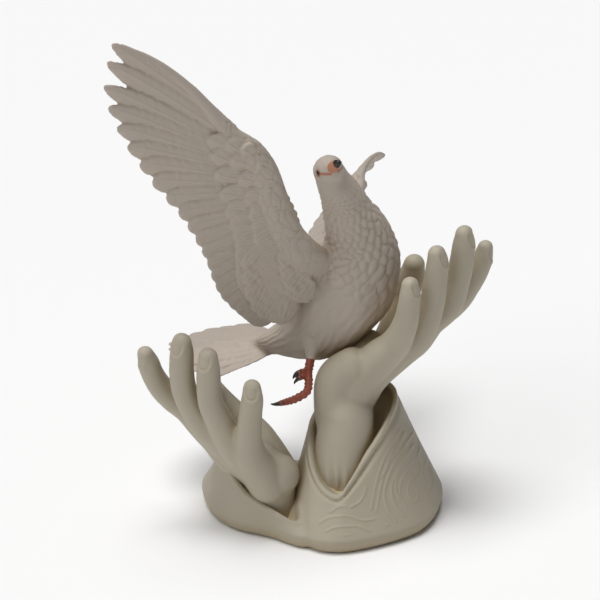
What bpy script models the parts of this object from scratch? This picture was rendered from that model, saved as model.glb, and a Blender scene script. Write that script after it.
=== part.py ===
"""Dove statue: a bird taking off from two open hands, as two castings, the bird and the hands with sleeves.

World frame: X to the viewer's right, Y away from the viewer, Z up, origin under the middle of the
base. The pose is written in three-hundredths of the figure's height, so it follows HEIGHT.
"""

import bpy
import bmesh
import math
from mathutils import Matrix, Vector

# Driving sizes, in metres
HEIGHT = 0.300              # floor to the top of the raised wing
SEAT_GAP = 0.0006           # clearance all round the bird where the hands carry it
BASE_BEVEL = 0.0050         # rounding under the hem of the sleeves
BASE_EDGE = 0.009           # height of the widest line of the hem
SLEEVE_WALL = 0.0042        # thickness of the cloth at the cuff openings
CUFF_DEPTH = 0.030          # how far the cuff openings reach down beside the wrists
FEATHER_THICK = 0.0026      # thickness of a flight feather
VOXEL_BIRD = 0.0012         # grain of the skin that fuses the bird
VOXEL_HANDS = 0.0014        # grain of the skin that fuses the hands and sleeves
BIRD_TRIANGLES = 5600
HANDS_TRIANGLES = 4300

U = HEIGHT / 300.0          # one unit of the pose
SCALE = HEIGHT / 0.300      # so the grain follows the height

# Feathers in the rows of a wing and in the tail
FLIGHT_FEATHERS = 21
GREATER_COVERTS = 15
MEDIAN_COVERTS = 13
LESSER_COVERTS = 10
AXILLARIES = 7
UPPER_GREATER = 13
UPPER_MEDIAN = 10
UPPER_LESSER = 7
TAIL_FEATHERS = 11
TAIL_COVERTS = 7
RUMP_FEATHERS = 5

# Colour and roughness of each casting
BISQUE = ((0.72, 0.67, 0.60), 0.62)
BISQUE_BIRD = ((0.74, 0.69, 0.63), 0.60)


def at(x, y, z):
    """A place in the figure, given in units of the pose."""
    return Vector((x, y, z)) * U


def catmull(points, per_span, closed=False):
    """A smooth run of points, of any number of values each, through the given ones."""
    count = len(points)
    spans = count if closed else count - 1
    run = []
    for span in range(spans):
        if closed:
            p = [points[(span + k) % count] for k in (-1, 0, 1, 2)]
        else:
            p = [points[min(max(span + k, 0), count - 1)] for k in (-1, 0, 1, 2)]
        for step in range(per_span):
            t = step / per_span
            run.append(tuple(
                0.5 * (2 * b + (c - a) * t + (2 * a - 5 * b + 4 * c - d) * t * t
                       + (3 * b - a - 3 * c + d) * t ** 3)
                for a, b, c, d in zip(*p)))
    if not closed:
        run.append(tuple(float(value) for value in points[-1]))
    return run


def skin(rings, closed_ends=True):
    """A closed mesh over a row of rings with as many points each."""
    mesh = bmesh.new()
    loops = [[mesh.verts.new(point) for point in ring] for ring in rings]
    sides = len(rings[0])
    for low, high in zip(loops, loops[1:]):
        for k in range(sides):
            after = (k + 1) % sides
            mesh.faces.new((low[k], low[after], high[after], high[k]))
    if closed_ends:
        mesh.faces.new(list(reversed(loops[0])))
        mesh.faces.new(loops[-1])
    bmesh.ops.recalc_face_normals(mesh, faces=mesh.faces[:])
    return mesh


def add_object(mesh, name, collection):
    """Turn a bmesh into an object in the collection."""
    data = bpy.data.meshes.new(name)
    mesh.to_mesh(data)
    mesh.free()
    thing = bpy.data.objects.new(name, data)
    collection.objects.link(thing)
    return thing


# Turns in degrees of the rings that round off the end of a limb
END_TURNS = (80, 55, 30, 0)


def limb(stations, facing, collection, name, per_span=4, sides=16):
    """A rounded limb through stations (x, y, z, half width, half depth); its depth lies along facing."""
    run = catmull(stations, per_span)
    centres = [at(*row[:3]) for row in run]
    facing = Vector(facing).normalized()
    rings = []
    last = len(run) - 1
    for k, row in enumerate(run):
        tangent = (centres[min(k + 1, last)] - centres[max(k - 1, 0)]).normalized()
        across = tangent.cross(facing).normalized()
        deep = across.cross(tangent).normalized()
        wide_half, deep_half = row[3] * U, row[4] * U
        sign = -1.0 if k == 0 else 1.0
        turns = (0,)
        if k == 0:
            turns = END_TURNS
        elif k == last:
            turns = END_TURNS[::-1]
        for turn in turns:
            reach = math.sin(math.radians(turn)) * min(wide_half, deep_half) * sign
            shrink = math.cos(math.radians(turn))
            middle = centres[k] + tangent * reach
            rings.append([
                middle + across * (wide_half * shrink * math.cos(2 * math.pi * s / sides))
                + deep * (deep_half * shrink * math.sin(2 * math.pi * s / sides))
                for s in range(sides)])
    return add_object(skin(rings), name, collection)


def ball(centre, radii, axes, collection, name):
    """An ellipsoid of three radii along three axes."""
    mesh = bmesh.new()
    bmesh.ops.create_uvsphere(mesh, u_segments=20, v_segments=12, radius=1.0)
    frame = Matrix([Vector(axis).normalized() for axis in axes]).transposed()
    for vert in mesh.verts:
        scaled = Vector(c * r * U for c, r in zip(vert.co, radii))
        vert.co = at(*centre) + frame @ scaled
    return add_object(mesh, name, collection)


ROOT_ROUND = 0.03           # share of a feather's length that rounds off at its root
EDGE_FULL = 1.6             # how long the thickness of a feather holds up towards its round tip


def feather(root, tip, normal, width, collection, name, narrow, blunt, thick, tilt):
    """A vane from root to tip, lying square to normal, with a round tip.

    narrow is the share of the width at the root, blunt the share of the length that rounds off at the
    tip, and tilt turns the vane about its own shaft.
    """
    mesh = bmesh.new()
    bmesh.ops.create_uvsphere(mesh, u_segments=12, v_segments=14, radius=1.0)
    shaft = tip - root
    along = shaft.normalized()
    side = along.cross(normal).normalized()
    up = side.cross(along).normalized()
    turn = Matrix.Rotation(math.radians(tilt), 3, along)
    side, up = turn @ side, turn @ up
    for vert in mesh.verts:
        ring = math.hypot(vert.co.x, vert.co.y)
        cos_a = vert.co.x / ring if ring > 1e-6 else 0.0
        sin_a = vert.co.y / ring if ring > 1e-6 else 0.0
        t = 0.5 + 0.5 * vert.co.z
        grow = narrow + (1.0 - narrow) * math.sin(0.5 * math.pi * min(1.0, t / 0.5))
        close = 1.0
        if t > 1.0 - blunt:
            close = math.sqrt(max(0.0, 1.0 - ((t - 1.0 + blunt) / blunt) ** 2))
        elif t < ROOT_ROUND:
            close = math.sqrt(max(t, 0.0) / ROOT_ROUND)
        across = 0.5 * width * grow * close * cos_a
        rise = 0.5 * thick * min(1.0, close * EDGE_FULL) * sin_a
        vert.co = root + shaft * t + side * across + up * rise
    return add_object(mesh, name, collection)


def evaluated(thing):
    """The mesh of an object with its modifiers carried out."""
    graph = bpy.context.evaluated_depsgraph_get()
    return bpy.data.meshes.new_from_object(thing.evaluated_get(graph))


def bake(thing):
    """Carry out the modifiers of an object for good."""
    mesh = evaluated(thing)
    thing.modifiers.clear()
    thing.data = mesh
    return thing


def joined(things, name, collection):
    """Several overlapping bodies as one object."""
    mesh = bmesh.new()
    for thing in things:
        mesh.from_mesh(thing.data)
        bpy.data.objects.remove(thing)
    return add_object(mesh, name, collection)


def fused(things, name, collection, voxel, smoothing):
    """Overlapping bodies as one closed skin."""
    whole = joined(things, name, collection)
    grain = whole.modifiers.new("one_skin", 'REMESH')
    grain.mode = 'VOXEL'
    grain.voxel_size = voxel
    soften = whole.modifiers.new("soften", 'SMOOTH')
    soften.factor = 0.5
    soften.iterations = smoothing
    return bake(whole)


def thinned(thing, triangles):
    """The same skin with about so many triangles."""
    now = sum(len(face.vertices) - 2 for face in thing.data.polygons)
    thin = thing.modifiers.new("thin", 'DECIMATE')
    thin.decimate_type = 'COLLAPSE'
    thin.ratio = min(1.0, triangles / now)
    thin.use_collapse_triangulate = True
    return bake(thing)


def cut(thing, cutter):
    """Take the cutter's space out of an object."""
    tool = thing.modifiers.new("cut", 'BOOLEAN')
    tool.operation = 'DIFFERENCE'
    tool.solver = 'EXACT'
    tool.object = cutter
    return bake(thing)


def tidy(thing, reach=0.00004):
    """Weld what a cut leaves almost touching, and drop what it leaves loose."""
    mesh = bmesh.new()
    mesh.from_mesh(thing.data)
    bmesh.ops.remove_doubles(mesh, verts=mesh.verts[:], dist=reach)
    bmesh.ops.dissolve_degenerate(mesh, edges=mesh.edges[:], dist=reach)
    bmesh.ops.triangulate(mesh, faces=mesh.faces[:])
    bmesh.ops.recalc_face_normals(mesh, faces=mesh.faces[:])
    mesh.to_mesh(thing.data)
    mesh.free()
    return thing


# The bird

RIGHT = Vector((-0.484, -0.779, 0.399)).normalized()      # the bird's own right

# Neck, breast, belly and rump: x, y, z, half width, half depth
TRUNK = (
    (3.5, -15, 219, 9, 8.6),
    (6.4, -13, 212, 10, 9.8),
    (10.8, -9, 202.9, 12.1, 11.6),
    (15.5, -4.3, 190, 15, 14.2),
    (20.5, 1.9, 177.2, 19.1, 17.8),
    (22.3, 7, 161.1, 24, 22),
    (18.5, 11, 143.5, 26.5, 24.6),
    (8.6, 14, 129.2, 26.5, 24.5),
    (-2, 17, 116, 22.5, 19.5),
    (-14.6, 24, 104.5, 13, 17),
    (-27, 31, 98, 9, 15),
    (-38, 36, 94.5, 5, 15),
)

HEAD = (3.2, -18, 220.3)
BEAK_AXIS = Vector((0.39, -0.781, 0.487)).normalized()
HEAD_UP = Vector((-0.45, 0.295, 0.84)).normalized()
HEAD_SIDE = BEAK_AXIS.cross(HEAD_UP).normalized()
SKULL = (11, 8.4, 8.7)      # half length, half width and half height
BEAK_ROOT = (4.5, -24.5, 222.8)
BEAK_AIM = Vector((0.38, -0.65, 0.65)).normalized()
# Beak: reach from its root, half width, half depth and hook
BEAK = ((-1.5, 3.5, 3.5, 0), (3, 3.1, 3.2, 0), (6.5, 2.4, 2.6, 0.2), (9.5, 1.5, 1.7, 0.9))

# The near wing lies in a plane: span runs to the tip, chord runs to the trailing edge
SHOULDER = (9.1, -8, 169.8)
SPAN = Vector((-0.66, -0.21, 0.72)).normalized()
WING_NORMAL = SPAN.cross(Vector((-0.745, 0.116, -0.65))).normalized()
CHORD = WING_NORMAL.cross(SPAN).normalized()
WING_REACH = 180            # shoulder to the outermost tip

# The far wing reaches away from the viewer, with its upper side showing left of the neck
FAR_SHOULDER = (25.6, 18.5, 156)
FAR_SPAN = Vector((0.11, 0.99, 0.078)).normalized()
FAR_CHORD = FAR_SPAN.cross(Vector((-0.6, 0.1, -0.79)).cross(FAR_SPAN)).normalized()
FAR_ARCH = 18
FAR_LEAD = 0.65             # share of the near wing's reach ahead of the span that the far wing keeps

# Arm, hand and leading edge of the wing: span, chord, lift, half chord, half thickness
WING_ARM = (
    (-24, 24, -16, 17, 12),
    (-6, 20.5, -6, 15.5, 10),
    (12, 17.5, 0, 11.5, 8),
    (30, 13.5, 1, 9.5, 6),
    (50, 6, 1, 9.7, 5),
    (68, -2.5, 1, 9.3, 4.4),
    (82, -7, 1, 7.8, 3.8),
    (96, -6.7, 0.6, 5.2, 3),
    (112, -7.6, 0.3, 3.9, 2.4),
    (128, -8.9, 0.2, 3, 2),
    (144, -8.3, 0.1, 2.6, 1.7),
    (158, -6.2, 0, 2.2, 1.4),
    (169, -2.6, 0, 1.8, 1.2),
)

# Rows of feathers on the wing, from the leading edge to the body. Each station is the span and chord
# of a feather tip, the angle of the feather from the span in degrees, its length and its width
FLIGHTS = ((182, 3.7, 8, 87, 13), (166, 25, 17, 85, 15), (141, 38, 28, 80, 16), (112, 45.5, 40, 74, 16),
           (80, 50.5, 56, 64, 15), (51, 59, 70, 60, 15), (22, 71, 88, 58, 16), (-5, 71, 102, 56, 18))
GREATER = ((106, 3, 12, 34, 10), (93, 12, 22, 32, 11), (76, 22.5, 34, 32, 12), (60, 31.5, 48, 32, 13),
           (46, 39, 62, 32, 14), (32, 49, 78, 34, 16), (18, 58, 90, 36, 18), (0, 62, 100, 38, 20))
MEDIAN = ((98, -2, 14, 28, 10), (86, 4, 26, 26, 12), (70, 12, 38, 26, 13), (55, 20, 52, 26, 14),
          (42, 28, 64, 26, 15), (29, 37, 78, 28, 16), (16, 46, 90, 30, 18), (2, 52, 100, 32, 20))
LESSER = ((90, -6, 20, 16, 11), (77, -4, 34, 13, 12), (63, 1, 48, 12, 13), (48, 8, 62, 12, 14),
          (34, 17, 74, 15, 16), (21, 26, 86, 20, 18), (8, 34, 96, 24, 20), (-6, 40, 104, 26, 22))
AXILLARY = ((30, 46, 98, 26, 13), (19, 54, 102, 30, 15), (8, 60, 108, 34, 16), (-3, 62, 114, 38, 17),
            (-13, 57, 122, 38, 17))
# Share by which the outer feathers of a row stand further apart than the inner ones
SPREAD = 0.12
# Share of the flight feathers, from the outermost on, whose tips stand apart like fingers
FINGERED = 0.45

# Rows of the near wing: line, feathers, level of the tips, how much deeper the roots lie, turn of each
# feather about its shaft in degrees, thickness in units, share of width at the root, share of the length
# that rounds off at the tip, and the same share for the outermost feather.
# The underside faces the viewer; the rows of the upper side are plainer.
ROWS = {
    "flight": (FLIGHTS, FLIGHT_FEATHERS, 0.0, 0.5, -9, FEATHER_THICK * 1000, 0.6, 0.16, 0.62),
    "greater": (GREATER, GREATER_COVERTS, 2.0, 1.5, -9, 3.0, 0.7, 0.3, 0.3),
    "median": (MEDIAN, MEDIAN_COVERTS, 3.4, 2.2, -9, 3.6, 0.7, 0.35, 0.35),
    "lesser": (LESSER, LESSER_COVERTS, 4.4, 3.0, -8, 5.0, 0.8, 0.4, 0.4),
    "axillary": (AXILLARY, AXILLARIES, 4.6, 0.5, -10, 4.2, 0.8, 0.3, 0.3),
    "upper_greater": (GREATER, UPPER_GREATER, -1.8, -1.5, -8, 3.0, 0.8, 0.3, 0.3),
    "upper_median": (MEDIAN, UPPER_MEDIAN, -3.0, -2.0, -7, 3.8, 0.9, 0.4, 0.4),
    "upper_lesser": (LESSER, UPPER_LESSER, -4.0, -2.5, -6, 5.0, 0.9, 0.4, 0.4),
}


def wing_place(span, chord, lift=0.0):
    """A place on the near wing, from its span, chord and lift towards the underside."""
    return at(*SHOULDER) + (SPAN * span + CHORD * chord + WING_NORMAL * lift) * U


def wing_row(name, collection):
    """A row of feathers whose tips follow a line across the wing."""
    line, count, lift, drop, tilt, thick, narrow, blunt, outer = ROWS[name]
    run = catmull(line, 24)
    row = []
    for k in range(count):
        share = k / (count - 1)
        share += SPREAD * math.sin(math.pi * share)
        span, chord, aim, long, wide = run[round(min(share, 1.0) * (len(run) - 1))]
        pointed = max(0.0, 1.0 - share / FINGERED)
        angle = math.radians(aim)
        root = wing_place(span - math.cos(angle) * long, chord - math.sin(angle) * long, lift - drop)
        row.append(feather(
            root, wing_place(span, chord, lift), WING_NORMAL, wide * U, collection, f"{name}_{k}",
            narrow=narrow, blunt=blunt + (outer - blunt) * pointed, thick=thick * U, tilt=tilt))
    return row


def near_wing(collection):
    """The near wing: its arm, its flight feathers and its rows of coverts."""
    stations = []
    for span, chord, lift, half_chord, half_thick in WING_ARM:
        place = wing_place(span, chord, lift) / U
        stations.append((*place, half_chord, half_thick))
    pieces = [limb(stations, WING_NORMAL, collection, "wing_arm")]
    for name in ROWS:
        pieces += wing_row(name, collection)
    return pieces


def far_wing(things, collection):
    """Copies of the near wing's pieces, hung on the far shoulder and arched over its length."""
    ventral = FAR_CHORD.cross(FAR_SPAN)
    copies = []
    for thing in things:
        mesh = bmesh.new()
        mesh.from_mesh(thing.data)
        for vert in mesh.verts:
            away = (vert.co - at(*SHOULDER)) / U
            span, chord, lift = away.dot(SPAN), away.dot(CHORD), away.dot(WING_NORMAL)
            share = min(max(span / WING_REACH, 0.0), 1.0)
            lift -= FAR_ARCH * 4.0 * share * (1.0 - share)
            if chord < 0.0:
                chord *= FAR_LEAD
            vert.co = at(*FAR_SHOULDER) + (FAR_SPAN * span + FAR_CHORD * chord + ventral * lift) * U
        bmesh.ops.reverse_faces(mesh, faces=mesh.faces[:])
        copies.append(add_object(mesh, thing.name + "_far", collection))
    return copies


def head(collection):
    """Skull, cere and beak."""
    axes = (BEAK_AXIS, HEAD_SIDE, HEAD_UP)
    pieces = [ball(HEAD, SKULL, axes, collection, "skull")]
    stations = []
    for reach, wide, deep, hook in BEAK:
        place = Vector(BEAK_ROOT) + BEAK_AIM * reach - HEAD_UP * hook
        stations.append((*place, wide, deep))
    pieces.append(limb(stations, HEAD_UP, collection, "beak", sides=12))
    return pieces


TAIL_ROOT = (-30, 35, 95.5)
TAIL_AXIS = Vector((-0.93, 0.36, -0.14)).normalized()
TAIL_SIDE = Vector((0.36, 0.93, -0.07)).normalized()
# For the viewer's side of the fan and for the far side: how far its outermost feather hangs below the
# middle one, and how much shorter it is
TAIL_NEAR = (14.0, 21.0)
TAIL_FAR = (2.5, 3.0)
# Rows of the fan: feathers, length, width, half angle of the fan in degrees, level
TAIL_ROWS = (
    (TAIL_FEATHERS, 70, 17, 50, 0.0),
    (TAIL_COVERTS, 34, 15, 40, 1.6),
    (RUMP_FEATHERS, 20, 14, 30, 2.8),
)


def tail(collection):
    """The spread tail and the coverts over its root."""
    normal = TAIL_AXIS.cross(TAIL_SIDE).normalized()
    pieces = []
    for row, (count, reach, width, spread, lift) in enumerate(TAIL_ROWS):
        for k in range(count):
            share = 2.0 * k / (count - 1) - 1.0
            angle = math.radians(spread * share)
            aim = TAIL_AXIS * math.cos(angle) + TAIL_SIDE * math.sin(angle)
            start = at(*TAIL_ROOT) - TAIL_AXIS * 6 * U
            level = normal * (lift + 0.35 * (k % 2)) * U
            hang, short = TAIL_NEAR if share < 0 else TAIL_FAR
            size = reach / TAIL_ROWS[0][1]
            droop = Vector((0, 0, -hang * size * share * share)) * U
            end = at(*TAIL_ROOT) + (aim * (reach - short * size * abs(share))) * U
            pieces.append(feather(
                start + level, end + level + droop, normal, width * U, collection, f"tail_{row}_{k}",
                narrow=0.5, blunt=0.18, thick=FEATHER_THICK, tilt=5))
    return pieces


# Legs and toes as x, y, z, radius; the claw takes the last two
LEGS = {
    "near_leg": ((-4.5, -2, 110, 5.5), (-5.5, -5, 104, 3.8), (-7.5, -10, 98, 2.6), (-8.1, -12, 95, 2.5)),
    "near_front_toe": ((-8.1, -13, 95.5, 2.5), (-7.7, -17, 91, 2.4), (-9, -21, 86.5, 2.4),
                       (-15.7, -24, 83.3, 2.3), (-21, -25, 81.9, 2.0), (-24.5, -25.5, 81.2, 1.5),
                       (-28.6, -26, 80.4, 1.2)),
    "near_hind_toe": ((-8.1, -12, 96, 2.4), (-11, -14.5, 97.3, 2.2), (-13.6, -16, 97.6, 1.9),
                      (-15.5, -17, 96.4, 1.4), (-17, -17.5, 94.8, 1.1)),
    "far_leg": ((4, 26, 106, 5.5), (5, 28, 99, 3.8), (7, 31, 91, 2.6), (8, 32, 88, 2.5)),
    "far_front_toe": ((8, 32, 88, 2.5), (9, 34, 83, 2.4), (7, 37, 79, 2.4), (2, 39, 76.5, 2.3),
                      (-2, 40, 75, 1.5), (-5, 40, 73.5, 1.2)),
    "far_hind_toe": ((8, 32, 88, 2.4), (5, 34, 88.5, 2.2), (2.5, 35, 87.5, 1.5), (1, 35.5, 85.5, 1.1)),
}


def legs(collection):
    """Both legs, which hang free with curled toes."""
    pieces = []
    for name, run in LEGS.items():
        stations = [(x, y, z, r, r) for x, y, z, r in run]
        pieces.append(limb(stations, (0.2, -1, 0.3), collection, name, sides=10))
    return pieces


def dove(collection):
    """The whole bird as one casting."""
    wing = near_wing(collection)
    pieces = wing + far_wing(wing, collection)
    pieces.append(limb(TRUNK, RIGHT, collection, "trunk", sides=24))
    pieces += head(collection)
    pieces += tail(collection)
    pieces += legs(collection)
    bird = fused(pieces, "dove", collection, VOXEL_BIRD * SCALE, 2)
    return tidy(thinned(bird, BIRD_TRIANGLES))


# The hands: fingers as x, y, z, half width, half depth from the wrist to the tip

RIGHT_HAND = {
    "index": ((-41, -20, 36, 13, 11), (-53, -15, 43, 12, 10.5), (-62, -12.6, 53.1, 10.5, 10),
              (-70.4, -12.1, 62, 9.8, 9.4), (-78.5, -12.2, 71.8, 9, 8.8), (-88, -14, 79.6, 7.9, 7.8),
              (-94.5, -16.7, 88, 7.2, 7.2), (-98.9, -19.7, 97.5, 6.8, 6.6), (-100.9, -22.4, 105.8, 6.5, 6.1),
              (-102.4, -24, 111.5, 5.2, 4.8)),
    "middle": ((-36, -24, 34, 13, 11), (-47, -24, 46, 11.5, 10.5), (-57.5, -25, 56.5, 10.3, 9.8),
               (-67.5, -26, 67, 9.2, 9), (-74.5, -28, 78, 8.1, 8), (-79.5, -31, 91, 7.5, 7.4),
               (-81, -33, 104, 7.4, 7), (-80.5, -34.5, 117, 7.1, 6.5), (-80.2, -35.6, 123.7, 5.8, 5.2)),
    "ring": ((-33, -28, 34, 13, 11), (-41, -31, 45, 11.5, 10.5), (-48, -33, 53.5, 10.2, 9.6),
             (-54, -35, 63.5, 9.2, 9), (-59.5, -38, 75.5, 8.2, 8), (-64, -41, 88, 7.5, 7.4),
             (-65, -42, 99, 7.3, 7), (-65, -43, 110, 7, 6.4), (-65, -43, 117.5, 5.7, 5.2)),
    "little": ((-31.5, -30, 31.5, 13, 12), (-36.5, -35, 43, 11.5, 10.5), (-41, -39, 53.5, 9.8, 9.4),
               (-42.5, -42, 64, 8.2, 8.2), (-42, -45, 74, 7.2, 7.2), (-41, -47, 85, 6.7, 6.6),
               (-40, -48.1, 93.5, 6.5, 6.1), (-40, -48.6, 100.7, 5.3, 4.9)),
    "thumb": ((-27, -16, 32, 14, 13), (-34, -6.1, 40.6, 13, 12.5), (-39.5, 3, 47, 11.5, 11),
              (-46.5, 8, 53.5, 10, 9.6), (-54.5, 9.5, 60.5, 9, 8.6), (-61.5, 8.5, 69.5, 8.2, 7.8),
              (-65.5, 6, 77, 7.4, 6.8), (-67.5, 4, 82.5, 5.8, 5.2)),
}
RIGHT_FOREARM = ((-21, -25, 0, 9, 11), (-23, -26, 10, 9.5, 12), (-27.5, -25.5, 22, 13, 13.5),
                 (-32, -24.5, 34, 17, 14.5), (-38, -22, 43, 16, 12))
RIGHT_HEEL = ((-25, -31, 38), (12, 10, 13))

LEFT_HAND = {
    "index": ((22.5, 8, 81, 12.5, 11.5), (39, 15, 93.5, 11.5, 11), (53, 19, 104, 10.5, 10),
              (67, 22.4, 116.1, 9.6, 9.2), (80.5, 23.9, 127, 8.6, 8.4), (88, 24, 137, 7.5, 7.4),
              (93, 24, 146, 7, 6.8), (96, 24, 154, 6.4, 6.2), (97.4, 23.7, 160.5, 5, 4.8)),
    "middle": ((19.5, 1, 78, 12.5, 12), (37, 7.2, 98, 11.6, 11), (53.7, 9.6, 106.2, 11, 10.5),
               (63.9, 10.4, 118.9, 10, 9.6), (74.5, 9, 129, 8.8, 8.6), (79.5, 8.5, 143, 7.8, 7.6),
               (82, 7.5, 157, 7.4, 7.2), (83, 7, 168.5, 7.1, 6.6), (83, 6.5, 174.8, 5.8, 5.2)),
    "ring": ((20.5, -3, 75, 12.5, 12), (29.5, -3.6, 90, 11.5, 11), (45.1, -3.4, 104.2, 10.5, 10.2),
             (54.5, -5, 113, 9.8, 9.4), (60.5, -7, 125, 8.6, 8.4), (64, -9, 137.5, 7.7, 7.5),
             (65.5, -10, 150.5, 7.3, 7), (66.5, -10, 162, 6.9, 6.4), (66, -10.3, 168, 5.8, 5.2)),
    "little": ((15.5, -8, 76, 15, 13), (22.5, -10, 92, 13.5, 12), (33, -13, 104.5, 11.5, 10.8),
               (41, -16, 113, 10, 9.4), (45.5, -20, 122, 8.2, 8.2), (48.5, -23, 132.5, 7.2, 7.2),
               (49.5, -25, 141, 6.7, 6.6), (50, -26, 148, 6.4, 6.1), (50, -26, 154.5, 5.3, 5)),
    "thumb": ((19, 8, 66, 14, 12.5), (25, 16.5, 78, 12.5, 11.5), (36, 26, 88, 11.8, 11.2),
              (42, 33, 99.5, 10.2, 9.8), (47, 38, 111.5, 9.2, 9), (51, 40.5, 123.5, 9, 8.6),
              (54.5, 39, 136, 9, 8.2), (56, 37, 145.5, 7, 6.4)),
}
LEFT_FOREARM = ((9, -29, 8, 8, 9), (9.3, -30.5, 22, 8.5, 10.5), (10.3, -27.5, 36, 12, 13.5),
                (12, -20, 50, 17.5, 16), (14.8, -12.5, 62, 21, 16.5), (14.3, -7, 74, 19, 15.5),
                (15, -4, 86, 16, 14))
LEFT_HEEL = ((9.3, -9, 62, 14, 12), (8.3, -9.5, 75, 15, 12.5), (9.4, -10, 90, 14.7, 12.5),
             (18, -12, 99, 12.5, 11.5))
LEFT_PALM = ((23, 8, 96), (22, 12, 19))

RIGHT_FACING = Vector((-0.62, -0.72, -0.3)).normalized()
LEFT_FACING = Vector((0.80, -0.35, -0.48)).normalized()


def hand(fingers, forearm, facing, collection, name):
    """A hand with its forearm: five fingers that start at the wrist and lie side by side in the palm."""
    pieces = [limb(run, facing, collection, f"{name}_{finger}") for finger, run in fingers.items()]
    pieces.append(limb(forearm, facing, collection, f"{name}_forearm", sides=20))
    return pieces


# Sleeves: hem on the floor and cuff rim, both from the front round to the viewer's right
LEFT_HEM = ((12, -56), (37, -45.5), (57, -30), (67.5, -6), (70, 19), (63, 42), (40, 53), (12, 49),
            (-8, 28), (-15, -4), (-14, -34), (-5, -51))
LEFT_RIM = ((8.7, -48, 30), (16.3, -44, 37.5), (26.3, -36, 51), (36.6, -24, 62.9), (44.3, -7, 73.5),
            (44, 9, 77.5), (36, 18, 77), (8, 20, 72), (-5.5, 4, 61), (-8.5, -16, 54), (-7.5, -31, 45),
            (-1.5, -42.5, 35))
RIGHT_HEM = ((-12, -49.5), (2, -44), (8, -18), (8, 12), (-4, 38), (-28, 50), (-52, 50), (-66, 34),
             (-68.5, 12), (-60.5, -13), (-48.5, -27.5), (-30, -37))
RIGHT_RIM = ((-13.5, -48, 13.5), (-11.5, -42, 21), (-10.5, -30, 25), (-10, -14, 27.5), (-14, 0, 30),
             (-26, 8, 35), (-42, 8, 41), (-54, 0, 44), (-61, -9, 42), (-57.5, -20, 38), (-46, -34, 27),
             (-29, -43, 19))


RIM_STEPS = 6               # points on the hem and rim between two given ones
# Levels of a cuff opening as shares of its depth, each with the share by which it closes in
OPENING = ((-1.0, 0.62), (-0.5, 0.34), (0.0, 0.0), (0.35, -0.2))


def sleeve(hem, rim, collection, name):
    """A sleeve from its hem on the floor to its cuff, as a solid."""
    low = [Vector(row) * U for row in catmull(hem, RIM_STEPS, closed=True)]
    high = [at(*row) for row in catmull(rim, RIM_STEPS, closed=True)]
    middle = sum(low, Vector((0, 0))) / len(low)
    wide = [point + (point - middle).normalized() * BASE_BEVEL for point in low]
    rings = [
        [point.to_3d() - Vector((0, 0, BASE_EDGE)) for point in low],
        [point.to_3d() for point in low],
        [point.to_3d() + Vector((0, 0, BASE_EDGE)) for point in wide],
    ]
    for share in (0.25, 0.5, 0.75, 1.0):
        ring = []
        for foot, top in zip(wide, high):
            start = foot.to_3d() + Vector((0, 0, BASE_EDGE))
            ring.append(start.lerp(top, share))
        rings.append(ring)
    return add_object(skin(rings), name, collection)


def opening(rim, collection, name):
    """The space inside a cuff, to cut out of the sleeve."""
    high = [at(*row) for row in catmull(rim, RIM_STEPS, closed=True)]
    middle = sum(high, Vector()) / len(high)
    normal = Vector()
    for a, b in zip(high, high[1:] + high[:1]):
        normal += (a - middle).cross(b - middle)
    normal.normalize()
    rings = []
    for depth, shrink in OPENING:
        ring = []
        for point in high:
            inward = middle - point
            room = inward.length
            inner = point + inward.normalized() * (SLEEVE_WALL + shrink * (room - SLEEVE_WALL))
            ring.append(inner + normal * depth * CUFF_DEPTH)
        rings.append(ring)
    return add_object(skin(rings), name, collection)


def hands(collection, cutters):
    """Both hands, their forearms and their sleeves as one casting with a flat underside."""
    cloth = fused(
        [sleeve(LEFT_HEM, LEFT_RIM, collection, "left_sleeve"),
         sleeve(RIGHT_HEM, RIGHT_RIM, collection, "right_sleeve")],
        "sleeves", collection, VOXEL_HANDS * SCALE, 2)
    for rim, name in ((LEFT_RIM, "left_opening"), (RIGHT_RIM, "right_opening")):
        space = fused([opening(rim, cutters, name)], name, cutters, VOXEL_HANDS * SCALE, 1)
        cut(cloth, space)
    pieces = [cloth]
    pieces += hand(RIGHT_HAND, RIGHT_FOREARM, RIGHT_FACING, collection, "right")
    pieces += hand(LEFT_HAND, LEFT_FOREARM, LEFT_FACING, collection, "left")
    pieces.append(ball(*RIGHT_HEEL, ((1, 0, 0), (0, 1, 0), (0, 0, 1)), collection, "right_heel"))
    pieces.append(limb(LEFT_HEEL, LEFT_FACING, collection, "left_heel"))
    palm_up = Vector((-0.8, 0, 0.6))
    pieces.append(ball(*LEFT_PALM, ((0, 1, 0), palm_up, Vector((0, 1, 0)).cross(palm_up)),
                       collection, "left_palm"))
    return fused(pieces, "hands_and_sleeves", collection, VOXEL_HANDS * SCALE, 4)


def level_underside(thing):
    """Cut the casting off flat on the floor and close it."""
    mesh = bmesh.new()
    mesh.from_mesh(thing.data)
    everything = [*mesh.verts, *mesh.edges, *mesh.faces]
    result = bmesh.ops.bisect_plane(mesh, geom=everything, plane_co=(0, 0, 0), plane_no=(0, 0, 1),
                                    clear_inner=True)
    rim = [edge for edge in result["geom_cut"] if isinstance(edge, bmesh.types.BMEdge)]
    bmesh.ops.contextual_create(mesh, geom=rim)
    mesh.to_mesh(thing.data)
    mesh.free()
    return thing


def finish(thing, colour, roughness):
    """Give a casting its bisque surface and its shading."""
    material = bpy.data.materials.new(thing.name + "_bisque")
    material.use_nodes = True
    shader = material.node_tree.nodes["Principled BSDF"]
    shader.inputs["Base Color"].default_value = (*colour, 1.0)
    shader.inputs["Roughness"].default_value = roughness
    shader.inputs["Metallic"].default_value = 0.0
    thing.data.materials.clear()
    thing.data.materials.append(material)
    thing.data.shade_smooth()
    thing.data.set_sharp_from_angle(angle=math.radians(40))


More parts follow.
